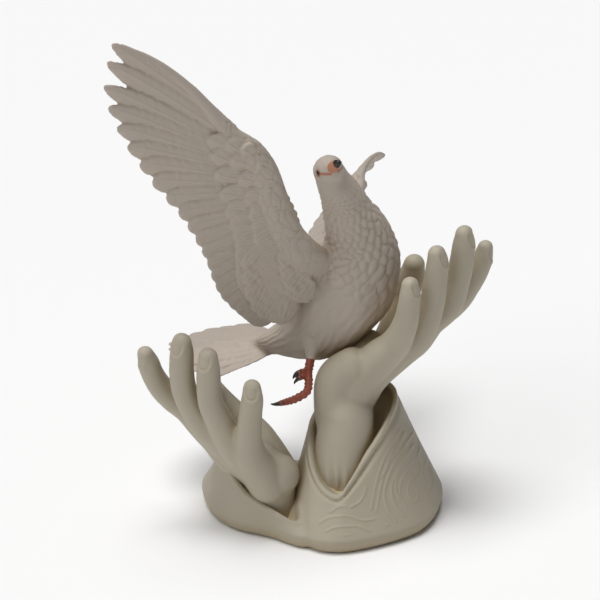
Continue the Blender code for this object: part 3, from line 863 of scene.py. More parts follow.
@dataclass
class NearWing:
    """The raised wing, whose underside faces the viewer. Places on it are span, chord and lift."""
    shoulder: tuple = (9.1, -8, 169.8)
    span: np.ndarray = field(default_factory=lambda: unit((-0.66, -0.21, 0.72)))
    aside: tuple = (-0.745, 0.116, -0.65)
    # How much closer the feathers stand towards the body, and the share of a row with blunter tips
    spread: float = 0.12
    fingered: float = 0.45
    # Span, chord, lift, half width and half depth of the arm
    arm: tuple = (
        (-23, 24, -22, 10, 5.5), (-6, 20.5, -8, 16, 7), (12, 17.5, 0, 12, 6.8), (30, 13.5, 1, 9.5, 6),
        (50, 6, 1, 9.7, 5), (68, -2.5, 1, 9.3, 4.4), (82, -7, 1, 7.8, 3.8), (96, -6.7, 0.6, 5.2, 3),
        (112, -7.6, 0.3, 3.9, 2.4), (128, -8.9, 0.2, 3, 2), (144, -8.3, 0.1, 2.6, 1.7),
        (158, -6.2, 0, 2.2, 1.4), (169, -2.6, 0, 1.9, 1.2), (177, 0.6, 0, 1.7, 1.1))
    # Lines of the rows, from the wing's tip to the body
    flights: tuple = (
        (182, 3.4, 8, 87, 15), (166, 25, 17, 85, 15.5), (141, 38, 28, 80, 16),
        (112, 45.5, 40, 74, 16), (80, 50.5, 56, 64, 15), (51, 59, 70, 60, 15), (22, 71, 88, 58, 16),
        (-5, 71, 102, 56, 18))
    greater: tuple = (
        (106, 3, 12, 34, 10), (93, 12, 22, 32, 11), (76, 22.5, 34, 32, 12), (60, 31.5, 48, 32, 13),
        (46, 39, 62, 32, 14), (32, 49, 78, 34, 16), (18, 58, 90, 36, 18), (0, 62, 100, 38, 20))
    median: tuple = (
        (98, -2, 14, 28, 10), (86, 4, 26, 26, 12), (70, 12, 38, 26, 13), (55, 20, 52, 26, 14),
        (42, 28, 64, 26, 15), (29, 37, 78, 28, 16), (16, 46, 90, 30, 18), (2, 52, 100, 32, 20))
    lesser: tuple = (
        (90, -6, 20, 16, 11), (77, -4, 34, 13, 12), (63, 1, 48, 12, 13), (48, 8, 62, 12, 14),
        (34, 17, 74, 15, 16), (21, 26, 86, 20, 18), (8, 34, 96, 24, 20), (-6, 40, 104, 26, 22))
    axillary: tuple = (
        (30, 46, 98, 26, 13), (19, 54, 102, 30, 15), (8, 60, 108, 34, 16), (-3, 62, 114, 38, 17),
        (-13, 57, 122, 38, 17))

    def __post_init__(self) -> None:
        """Work out the wing's own directions."""
        self.normal = unit(np.cross(self.span, self.aside))
        self.chord = np.cross(self.normal, self.span)

    def rows(self) -> tuple:
        """Every row, first those of the underside.

        Returns:
            The rows, each laid over the one before it on its own side.
        """
        flight, covert, tuft = Kind.FLIGHT, Kind.COVERT, Kind.TUFT
        return (
            Row("flight", self.flights, flight, 21, 0.0, 0.5, -9, 2.6, 0.45, 0.16, 0.62),
            Row("greater", self.greater, covert, 15, 2.0, 1.5, -9, 3.0, 0.5, 0.3, 0.3, 1.4),
            Row("median", self.median, covert, 13, 3.4, 2.6, -9, 3.6, 0.4, 0.35, 0.35, 1.35, 0.95),
            Row("lesser", self.lesser, tuft, 10, 4.4, 3.0, -8, 5.0, 0.45, 0.4, 0.4, 1.0, 0.66),
            Row("axillary", self.axillary, tuft, 7, 4.6, 3.2, -10, 4.2, 0.8, 0.3, 0.3),
            Row("upper_greater", self.greater, covert, 13, -1.8, -1.5, -8, 3.0, 0.8, 0.3, 0.3, 1.2),
            Row("upper_median", self.median, covert, 10, -3.0, -2.0, -7, 3.8, 0.5, 0.4, 0.4, 1.2, 0.95),
            Row("upper_lesser", self.lesser, tuft, 7, -4.0, -2.5, -6, 5.0, 0.45, 0.4, 0.4, 1.0, 0.66))

    def spot(self, span: float, chord: float, lift: float = 0.0) -> np.ndarray:
        """A place on the wing."""
        return np.asarray(self.shoulder) + self.span * span + self.chord * chord + self.normal * lift

    def build(self, source: Source) -> list:
        """Shape the arm and every row of feathers.

        Args:
            source: where the shapes go.

        Returns:
            The new objects.
        """
        start = len(source.things)
        stations = [(*self.spot(*station[:3]), *station[3:]) for station in self.arm]
        source.limb(stations, self.normal, "wing_arm", Kind.ARM, sides=36, rings=72)
        for row in self.rows():
            self.lay(source, row)
        return source.things[start:]

    def lay(self, source: Source, row: Row) -> None:
        """Shape the feathers of a row.

        Args:
            source: where the shapes go.
            row: the row.
        """
        share = np.arange(row.count) / (row.count - 1)
        share = np.minimum(share + self.spread * np.sin(math.pi * share), 1.0)
        run = smooth_run(row.line, share * (len(row.line) - 1))
        rounds = row.blunt + (row.outer - row.blunt) * np.maximum(0.0, 1.0 - share / self.fingered)
        for k, (span, chord, aim, length, width) in enumerate(run):
            width, length = width * row.wider, length * row.longer
            angle = math.radians(aim)
            root = self.spot(span - math.cos(angle) * length, chord - math.sin(angle) * length,
                             row.level - row.drop)
            source.feather(root, self.spot(span, chord, row.level), self.normal, width,
                           f"{row.name}_{k}", row.kind, row.narrow, rounds[k], row.thick, row.tilt)


@dataclass
class FarWing:
    """The far wing: the near wing's shapes, hung on the far shoulder and arched over its length."""
    like: NearWing
    shoulder: tuple = (25.6, 18.5, 156)
    span: np.ndarray = field(default_factory=lambda: unit((0.11, 0.99, 0.078)))
    aside: tuple = (-0.6, 0.1, -0.79)
    # Rise of the arch over the reach from the shoulder, and how much narrower the leading edge is
    arch: float = 18.0
    reach: float = 180.0
    lead: float = 0.65

    def build(self, source: Source, models: Sequence[bpy.types.Object]) -> None:
        """Copy the near wing's shapes over to this side.

        Args:
            source: where the shapes go.
            models: the near wing's shapes.
        """
        chord = unit(np.cross(self.span, np.cross(self.aside, self.span)))
        ventral = np.cross(chord, self.span)
        for model in models:
            mesh = model.data.copy()
            away = read(mesh) / UNIT - np.asarray(self.like.shoulder)
            span, rest, lift = away @ self.like.span, away @ self.like.chord, away @ self.like.normal
            share = np.clip(span / self.reach, 0, 1)
            lift = lift - self.arch * 4.0 * share * (1.0 - share)
            rest = np.where(rest < 0, rest * self.lead, rest)
            points = (np.asarray(self.shoulder) + np.outer(span, self.span) + np.outer(rest, chord)
                      + np.outer(lift, ventral))
            mesh.flip_normals()
            old = int(round(noted(model.data, "ident")[0]))
            source.add(mesh, points, model.name + "_far", Kind(source.kinds[old]),
                       source.lengths[old], source.widths[old], noted(model.data, "along"),
                       noted(model.data, "across"), noted(model.data, "face"))


@dataclass
class Trunk:
    """Neck, breast, belly and rump, with scale feathers on the breast and strands on the belly."""
    facing: tuple = (-0.484, -0.779, 0.399)
    stations: tuple = (
        (3.5, -15, 219, 9, 8.6), (6.4, -13, 212, 10, 9.8), (10.8, -9, 202.9, 12.1, 11.6),
        (15.5, -4.3, 190, 15, 14.2), (20.5, 1.9, 177.2, 19.1, 17.8), (22.3, 7, 161.1, 24, 22),
        (18.5, 11, 143.5, 26.5, 24.6), (8.6, 14, 129.2, 27, 24.5), (-2, 17, 116, 24.3, 19.5),
        (-14.6, 24, 104.5, 14.8, 17), (-27, 31, 98, 7.6, 13.5), (-38, 36, 95, 4.2, 9),
        (-50, 40.5, 93, 2.2, 4.5), (-61, 45, 91, 1.0, 2))
    # Scales round the body, their height, and the way along the body over which they come and go
    columns: int = 19
    scale_rise: float = 2.7
    scales_come: tuple = (11, 22)
    scales_go: tuple = (70, 98)
    # Length of a scale on the neck and on the breast, and how far down the breast it stays longest
    scale_lengths: tuple = (2.4, 5.2)
    grown: float = 62.0
    # The way over which the belly's strands and folds come, and their heights
    belly_comes: tuple = (62, 95)
    strand_rise: float = 0.28
    fold_rise: float = 0.48
    fold_size: float = 15.0
    neck_rise: float = 0.15

    def build(self, source: Source) -> None:
        """Shape the trunk."""
        source.limb(self.stations, self.facing, "trunk", Kind.TRUNK, sides=64, rings=120, ends=10)

    def relief(self, casting: Casting) -> np.ndarray:
        """Heights of the scale feathers and of the belly's strands.

        Args:
            casting: the fused bird.

        Returns:
            A height for each point, in units.
        """
        points = casting.points()
        along = casting.at["along"] * casting.length
        turn = np.arctan2(casting.at["face"], casting.at["across"])
        sway = wander(points, 26.0, 3)
        ripple = wander(points, 9.0, 4)
        # Rows stand closer on the neck than on the breast
        short, long = self.scale_lengths
        slope = (long - short) / self.grown
        rows = np.log1p(slope * np.minimum(along, self.grown) / short) / slope
        rows = rows + np.maximum(along - self.grown, 0) / long + 0.30 * sway + 0.10 * ripple
        column = turn / (2 * math.pi) * self.columns + 0.17 * ripple + 0.2 * sway
        height = casting.net.smoothed(shingles(rows, column), 4)
        share = ease(along, *self.scales_come) * (1 - ease(along, *self.scales_go))
        # The scales grow higher from the neck to the breast, where the neck's ripples end
        rise = self.scale_rise * (0.42 + 0.58 * ease(along, 24, 52))
        neck = self.neck_rise * np.cos(2 * math.pi * (rows + 0.55 * ripple)) * (1 - ease(along, 34, 52))
        strands = strand(points, turn * 22.0, along, 6.5, 5)
        folds = self.fold_rise * wander(points * np.array((1.0, 1.0, 0.45)), self.fold_size, 6)
        below = (strands * self.strand_rise + folds) * ease(along, *self.belly_comes)
        return ((height - 0.45) * rise + neck) * share + below + strands * 0.03


def shingles(rows: np.ndarray, columns: np.ndarray) -> np.ndarray:
    """Height of overlapping round, puffed scales.

    Args:
        rows: place along the body, counted in rows of scales.
        columns: place round the body, counted in scales.

    Returns:
        Heights from 0 at a hidden root to about 1 near a free edge.
    """
    # Length of a scale, in rows
    full = 1.78
    height = np.zeros(len(rows))
    done = np.zeros(len(rows), bool)
    # The scale of the row before reaches over this row's roots, so it comes first
    for back in (1, 0):
        row = np.floor(rows) - back
        inside = rows - row
        middle = columns + 0.5 * np.mod(row, 2)
        off = (np.mod(middle, 1.0) - 0.5) * 2
        reach = 1.0 + (full - 1.0) * np.sqrt(np.maximum(0, 1 - np.abs(off) ** 2.2))
        left = np.clip((reach - inside) / 0.8, 0, 1)
        puff = np.sqrt(np.clip(1 - (1 - left) ** 2, 0, 1)) * (1 - 0.55 * np.abs(off) ** 2.4)
        use = ~done & (inside < reach)
        height[use] = ((0.45 + 0.55 * inside / full) * puff)[use]
        done |= use
    return height


def strand(points: np.ndarray, across: np.ndarray, along: np.ndarray, pitch: float,
           seed: int) -> np.ndarray:
    """Uneven ridges that run along.

    Args:
        points: places, one row each.
        across: place across the ridges, in units.
        along: place along them, in units.
        pitch: distance between ridges.
        seed: seed of their bends.

    Returns:
        Heights about zero, of about one.
    """
    bend = wander(points, 22.0, seed) * 1.6 + wander(points, 8.0, seed + 1) * 0.5
    ridge = np.cos(2 * math.pi * across / pitch + bend)
    second = np.cos(2 * math.pi * (across * 0.8 + along * 0.25) / (pitch * 0.8) - bend)
    fade = 0.5 + 0.5 * wander(points, 12.0, seed + 2)
    return ridge * np.clip(fade, 0, 1) + second * np.clip(1 - fade, 0, 1) * 0.7


@dataclass
class Head:
    """Skull, eyes and beak."""
    centre: tuple = (3.2, -18, 220.3)
    axis: np.ndarray = field(default_factory=lambda: unit((0.39, -0.781, 0.487)))
    up: np.ndarray = field(default_factory=lambda: unit((-0.45, 0.295, 0.84)))
    skull: tuple = (11, 8.4, 8.7)
    eye_forward: float = 2.2
    eye_up: float = 0.9
    eye_out: float = 7.6
    eye_radius: float = 1.6
    # How much flatter an eye is than a ball
    eye_flat: float = 0.35
    beak_root: tuple = (4.5, -24.5, 222.8)
    beak_aim: np.ndarray = field(default_factory=lambda: unit((0.38, -0.65, 0.65)))
    # Reach, half width, half depth and hook of the beak
    beak: tuple = ((-1.5, 3.5, 3.5, 0), (3, 3.1, 3.2, 0), (6.5, 2.4, 2.6, 0.2), (9.5, 1.5, 1.7, 0.9))
    # Where on the beak each of its pieces begins and ends, and how much it swells
    cere: tuple = (0.0, 2.45, 0.0)
    tip: tuple = (2.35, 3.0, 0.12)
    # Solid and full radius of the ring round an eye and of the line from it to the gape
    ring: tuple = (2.0, 2.75)
    line: tuple = (0.5, 1.2)
    # Shares of the way from the eye to the gape at which the brush is set down for the line
    line_shares: tuple = (0.3, 0.4, 0.5, 0.6, 0.7, 0.8)
    gape_drop: float = 2.2
    brush: tuple = (0.40, 0.13, 0.06)
    brush_share: float = 0.8

    def side(self) -> np.ndarray:
        """The bird's own right."""
        return unit(np.cross(self.axis, self.up))

    def build(self, source: Source) -> None:
        """Shape the skull."""
        source.ball(self.centre, self.skull, (self.axis, self.side(), self.up), "skull", Kind.SKULL)

    def eye_spots(self) -> list:
        """The centres of both eyes, the one that shows first."""
        middle = np.asarray(self.centre) + self.axis * self.eye_forward + self.up * self.eye_up
        return [middle + self.side() * self.eye_out * sign for sign in (1, -1)]

    def on_skull(self, spot: np.ndarray) -> np.ndarray:
        """The place on the skull's skin straight out from its centre through a spot.

        Args:
            spot: the spot.

        Returns:
            The place.
        """
        away = spot - np.asarray(self.centre)
        axes = np.array((self.axis, self.side(), self.up))
        return np.asarray(self.centre) + away / np.linalg.norm(axes @ away / np.asarray(self.skull))

    def paint_rings(self, nodes: Nodes, colour: bpy.types.NodeSocket) -> bpy.types.NodeSocket:
        """Brush a ring round each eye and a line towards the beak.

        Args:
            nodes: the material in the making.
            colour: the colour so far.

        Returns:
            The colour with the rings on it.
        """
        gape = np.asarray(self.beak_root) - self.up * self.gape_drop
        for eye in self.eye_spots():
            strokes = [(eye, *self.ring)]
            strokes += [(self.on_skull(eye + (gape - eye) * share), *self.line)
                        for share in self.line_shares]
            for spot, solid, full in strokes:
                away = nodes.tree.nodes.new("ShaderNodeVectorMath")
                away.operation = 'DISTANCE'
                away.inputs[1].default_value = list(spot * UNIT)
                nodes.tree.links.new(nodes.where, away.inputs[0])
                share = nodes.span(away.outputs["Value"], (full * UNIT, solid * UNIT),
                                   (0.0, self.brush_share))
                colour = nodes.blend(share, colour, self.brush)
        return colour

    def eyes(self) -> None:
        """Model both eyes."""
        finish = EYE_PAINT.material()
        squash = np.outer(self.side(), self.side()) * -self.eye_flat + np.eye(3)
        for spot, name in zip(self.eye_spots(), ("near_eye", "far_eye")):
            clear_selection()
            bpy.ops.mesh.primitive_uv_sphere_add(segments=32, ring_count=20,
                                                 radius=self.eye_radius * UNIT)
            bead = bpy.context.object
            bead.name = name
            place(bead.data, read(bead.data) @ squash + spot * UNIT)
            hand_over(bead, finish, "dove")

    def beak_piece(self, name: str, low: float, high: float, swell: float, finish: Paint) -> None:
        """Model a stretch of the beak.

        Args:
            name: the name of the piece.
            low: where on the beak it begins.
            high: where it ends.
            swell: how much thicker it is than the beak.
            finish: its finish.
        """
        stations = []
        for reach, wide, deep, hook in smooth_run(self.beak, np.linspace(low, high, 7)):
            spot = np.asarray(self.beak_root) + self.beak_aim * reach - self.up * hook
            stations.append((*spot, wide + swell, deep + swell))
        thing = Source().limb(stations, self.up, name, Kind.LIMB, sides=32, rings=40, ends=8)
        hand_over(thing, finish.material(), "dove")

    def pieces(self) -> None:
        """Model the eyes, the cere and the tip of the beak."""
        self.eyes()
        self.beak_piece("cere", *self.cere, CERE_PAINT)
        self.beak_piece("beak_tip", *self.tip, CLAW_PAINT)


@dataclass
class Tail:
    """The spread tail and the coverts over its root."""
    root: tuple = (-30, 35, 95.5)
    axis: np.ndarray = field(default_factory=lambda: unit((-0.93, 0.36, -0.14)))
    side: np.ndarray = field(default_factory=lambda: unit((0.36, 0.93, -0.07)))
    # For the viewer's side of the fan and the far side: droop and shortening of the outermost feather
    near: tuple = (10.0, 21.0)
    far: tuple = (2.5, 3.0)
    # Feathers, length, width, half angle of the fan in degrees, level
    rows: tuple = ((11, 70, 20, 50, 0.0), (7, 34, 15, 40, 1.6), (5, 20, 14, 30, 2.8),
                   (9, 40, 16, 44, -1.4), (7, 24, 15, 40, -2.6))
    # Turn of a feather about its shaft in degrees: at the middle, and what the near edge adds
    turns: tuple = (5.0, -17.0)
    # How far the feathers reach back into the rump, and how much higher every other one lies
    tuck: float = 6.0
    stagger: float = 0.35
    # Share of the width at the root, share of the length in the round tip, thickness
    vane: tuple = (0.5, 0.18, 2.6)

    def build(self, source: Source) -> None:
        """Shape every feather of the fan.

        Args:
            source: where the shapes go.
        """
        normal = unit(np.cross(self.axis, self.side))
        root = np.asarray(self.root)
        for row, (count, reach, width, spread, lift) in enumerate(self.rows):
            for k in range(count):
                share = 2.0 * k / (count - 1) - 1.0
                angle = math.radians(spread * share)
                aim = self.axis * math.cos(angle) + self.side * math.sin(angle)
                level = normal * (lift + self.stagger * (k % 2))
                hang, short = self.near if share < 0 else self.far
                size = reach / self.rows[0][1]
                start = root - self.axis * self.tuck + level
                end = root + aim * (reach - short * size * abs(share)) + level
                end = end - UP * (hang * size * share * share)
                source.feather(start, end, normal, width, f"tail_{row}_{k}", Kind.TAIL, *self.vane,
                               self.turns[0] + self.turns[1] * max(0.0, -share))


@dataclass
class Legs:
    """Both legs with their toes and claws, as x, y, z, radius."""
    thighs: tuple = (
        ((-3, 7, 117, 11), (-4.3, 2, 110.5, 8), (-5.6, -3, 105.4, 4.8), (-6.4, -6, 102.6, 2.9)),
        ((3, 24, 108, 7), (5, 28, 99, 4.2), (6.6, 30.2, 93, 3)))
    toes: dict = field(default_factory=lambda: {
        "near_leg": ((-5.9, -4, 104.2, 2.7), (-7.2, -9, 99, 2.6), (-7.9, -11.6, 96.2, 2.5),
                     (-8.1, -12, 95, 2.5)),
        "near_front_toe": ((-8.1, -13, 95.5, 2.5), (-7.7, -17, 91, 2.4), (-9, -21, 86.5, 2.4),
                           (-15.7, -24, 83.3, 2.3), (-21, -25, 81.9, 2.0), (-23.6, -25.5, 81.4, 1.6)),
        "near_hind_toe": ((-8.1, -12, 95.5, 2.4), (-11, -14.5, 96.6, 2.0), (-13.2, -16, 96.6, 1.6)),
        "near_inner_toe": ((-8.1, -13.5, 93.5, 2.2), (-11, -16.5, 94.6, 1.8), (-12.8, -18, 94.2, 1.4)),
        "far_leg": ((6.4, 30, 93.6, 2.4), (7, 31, 91, 2.6), (8, 32, 88, 2.5)),
        "far_front_toe": ((8, 32, 88, 2.5), (9, 34, 83, 2.4), (9.5, 38, 79.4, 2.3), (9.8, 42, 77, 1.6)),
        "far_hind_toe": ((8, 32, 88, 2.4), (8.5, 35, 88.4, 2.2), (8.8, 37.5, 88, 1.7)),
    })
    claws: dict = field(default_factory=lambda: {
        "near_front_claw": ((-22.4, -25.3, 81.7, 1.7), (-25.6, -25.7, 81.0, 1.3),
                            (-28.2, -26, 80.8, 0.8), (-29.8, -26.2, 81.2, 0.4)),
        "near_hind_claw": ((-12.8, -15.7, 96.7, 1.7), (-14.6, -16.6, 96.4, 1.4),
                           (-16.0, -17.2, 95.2, 1.0), (-16.8, -17.6, 93.8, 0.5)),
        "near_inner_claw": ((-12.4, -17.8, 94.3, 1.5), (-14.2, -18.6, 93.6, 1.2),
                            (-15.6, -19, 92.2, 0.8), (-16.2, -19.2, 91.0, 0.4)),
        "far_front_claw": ((9.8, 41.4, 77.3, 1.7), (9.9, 44, 76, 1.3), (10, 46, 74.2, 0.7)),
        "far_hind_claw": ((8.7, 37, 88.1, 1.7), (9, 39, 87, 1.2), (9.2, 40.4, 85.2, 0.6)),
    })
    facing: tuple = (0.2, -1, 0.3)
    grain: float = 0.34
    # Length and height of the rings of skin on the toes
    ring_length: float = 2.2
    ring_rise: float = 0.26

    def shape(self, source: Source, run: Stations, name: str, kind: Kind) -> None:
        """Shape a round limb.

        Args:
            source: where the shape goes.
            run: its x, y, z and radius.
            name: its name.
            kind: what it is.
        """
        source.limb([(x, y, z, r, r) for x, y, z, r in run], self.facing, name, kind)

    def build(self, source: Source) -> None:
        """Shape the feathered thighs."""
        for k, run in enumerate(self.thighs):
            self.shape(source, run, f"thigh_{k}", Kind.THIGH)

    def pieces(self) -> None:
        """Model the painted legs and the claws."""
        for name, runs, finish in (("feet", self.toes, FOOT_PAINT), ("claws", self.claws, CLAW_PAINT)):
            source = Source()
            for label, run in runs.items():
                self.shape(source, run, label, Kind.LIMB)
            casting = Casting(source, name, self.grain, 2)
            if name == "feet":
                along = casting.at["along"] * casting.length
                rings = np.cos(2 * math.pi * along / self.ring_length)
                casting.raise_by(self.ring_rise * rings * ease(along, 2, 5))
            hand_over(casting.thing, finish.material(), "dove")


@dataclass
class Plumage:
    """The relief of every feather of the wings and the tail, with heights and lengths in units."""
    # Where the shaft of a flight feather lies on its width, from -1 to 1
    flight_shaft: float = -0.30
    shaft_rise: float = 0.30
    # Height and length of the barbs and of the broad waves over them
    barbs: tuple = (0.045, 2.2)
    waves: tuple = (0.10, 9.0)
    # How much the barbs slant back from the shaft
    slant: float = 0.85
    split_depths: tuple = (0.34, 0.26, 0.20)
    # Heights of strands, shaft and unevenness, and the distance between strands
    covert: tuple = (0.12, 0.28, 0.13, 2.4)
    tuft: tuple = (0.15, 0.28, 0.20, 3.0)
    # Scales on the wing's arm: rows round it, length, height, and what the underside adds to it
    arm_rows: float = 13.0
    arm_length: float = 8.5
    arm_rise: float = 0.30
    arm_under: float = 0.50

    def vanes(self, casting: Casting, off: np.ndarray, shake: np.ndarray) -> np.ndarray:
        """Heights of shaft, barbs and splits on the long feathers.

        Args:
            casting: the fused bird.
            off: distance from the shaft.
            shake: unevenness.

        Returns:
            A height for each point.
        """
        along = casting.at["along"]
        slant = along * casting.length - self.slant * np.abs(off)
        ridge = self.shaft_rise * bell(off, 0.6) * ease(along, 0.0, 0.2) * (1 - ease(along, 0.86, 1.0))
        rise, length = self.barbs
        barb = rise * np.cos(2 * math.pi * slant / length + 1.8 * shake) * (0.5 + 0.5 * shake)
        rise, length = self.waves
        wave = (rise * np.cos(2 * math.pi * slant / length + 2.5 * shake)
                * np.clip(np.abs(off) / 3.0, 0, 1))
        height = ridge + barb + wave
        dice = np.random.RandomState(21)
        count = len(casting.source.kinds)
        for depth in self.split_depths:
            spot = dice.uniform(0.45, 0.97, count)[casting.ident]
            side = dice.choice((-1, 1), count)[casting.ident]
            split = bell(slant - spot * casting.length, 0.5)
            height -= depth * (split * ease(off * side / (casting.width * 0.5), 0.15, 0.8))
        return height

    def arm(self, casting: Casting, shake: np.ndarray) -> np.ndarray:
        """Heights of the small scales on the wing's arm.

        Args:
            casting: the fused bird.
            shake: unevenness.

        Returns:
            A height for each point.
        """
        reach = casting.at["along"] * casting.length
        turn = np.arctan2(casting.at["face"], casting.at["across"]) / (2 * math.pi)
        rows = turn * self.arm_rows * np.sign(casting.at["across"]) + 0.25 * shake
        scales = shingles(rows + 20.0, reach / self.arm_length + 0.3 * shake)
        inner = ease(reach, 18, 34) * (1 - ease(reach, 118, 140))
        rise = self.arm_rise + self.arm_under * ease(casting.at["face"], 0.1, 0.6)
        return (scales - 0.4) * rise * inner + 0.10 * shake

    def relief(self, casting: Casting) -> np.ndarray:
        """Heights of the relief on every feather.

        Args:
            casting: the fused bird.

        Returns:
            A height for each point.
        """
        points, kind = casting.points(), casting.kind
        reach = casting.at["along"] * casting.length
        shaft = np.where(kind == Kind.FLIGHT, self.flight_shaft, 0.0)
        off = (casting.at["across"] - shaft) * (casting.width * 0.5)
        shake = wander(points, 14.0, 11)
        height = np.zeros(len(points))
        vane = np.isin(kind, (Kind.FLIGHT, Kind.TAIL))
        height[vane] = self.vanes(casting, off, shake)[vane]
        covert = kind == Kind.COVERT
        strands, ridge, uneven, pitch = self.covert
        height[covert] = (strands * strand(points, off, reach, pitch, 31) + ridge * bell(off, 0.7)
                          + uneven * wander(points, 6.0, 32))[covert]
        tuft = kind == Kind.TUFT
        strands, ridge, uneven, pitch = self.tuft
        height[tuft] = (strands * strand(points, off, reach, pitch, 41) + ridge * bell(off, 0.9)
                        + uneven * wander(points, 6.0, 42))[tuft]
        arm = kind == Kind.ARM
        height[arm] = self.arm(casting, shake)[arm]
        return height


@dataclass
class Bird:
    """The whole dove."""
    grain: float = 0.64
    wing: NearWing = field(default_factory=NearWing)
    trunk: Trunk = field(default_factory=Trunk)
    head: Head = field(default_factory=Head)
    tail: Tail = field(default_factory=Tail)
    legs: Legs = field(default_factory=Legs)
    plumage: Plumage = field(default_factory=Plumage)
    # Kinds whose joins are softened in turn, how far to each side, and rounds of smoothing
    joins: tuple = (
        ((Kind.TRUNK, Kind.SKULL, Kind.ARM, Kind.TAIL, Kind.THIGH), 22, 70),
        ((Kind.COVERT,), 2, 3), ((Kind.TUFT,), 2, 5),
        ((Kind.ARM, Kind.TUFT, Kind.COVERT), 2, 4), ((Kind.TAIL,), 2, 4))
    # Planes that part the tail from the body, the near wing from the tail and the far wing from the
    # body: a place and the way to what comes off
    tail_plane: tuple = ((-14, 0, 0), (-1, 0, 0))
    near_plane: tuple = ((0, 0, 118), (0, 0, 1))
    far_plane: tuple = ((0, 44, 0), (0, 1, 0))

    def build(self) -> None:
        """Model the bird and hand over its parts."""
        source = Source()
        models = list(self.wing.build(source))
        FarWing(self.wing).build(source, models)
        self.trunk.build(source)
        self.head.build(source)
        self.tail.build(source)
        self.legs.build(source)
        casting = Casting(source, "dove_body", self.grain, 2)
        LOG.info("bird: %d points", casting.net.count)
        for kinds, spread, rounds in self.joins:
            casting.soften_joins(kinds, spread, rounds)
        height = self.plumage.relief(casting)
        body = np.isin(casting.kind, (Kind.TRUNK, Kind.THIGH))
        height[body] += self.trunk.relief(casting)[body]
        skull = casting.kind == Kind.SKULL
        height[skull] += 0.09 * wander(casting.points(), 3.4, 61)[skull]
        casting.raise_by(height)
        casting.keep_hollows()
        finish = BIRD_BISQUE.material()
        rest = casting.thing
        tail = part_off(rest, *self.tail_plane, "dove_tail")
        near = part_off(tail, *self.near_plane, "dove_near_wing")
        far = part_off(rest, *self.far_plane, "dove_far_wing")
        for thing in (rest, tail, near, far):
            hand_over(thing, finish, "dove")
        self.head.pieces()
        self.legs.pieces()


# The hands

@dataclass
class Nail:
    """A finger nail: where it looks, its length, its width and how square its corners are."""
    facing: tuple
    length: float = 10.0
    width: float = 7.2
    corners: float = 2.6


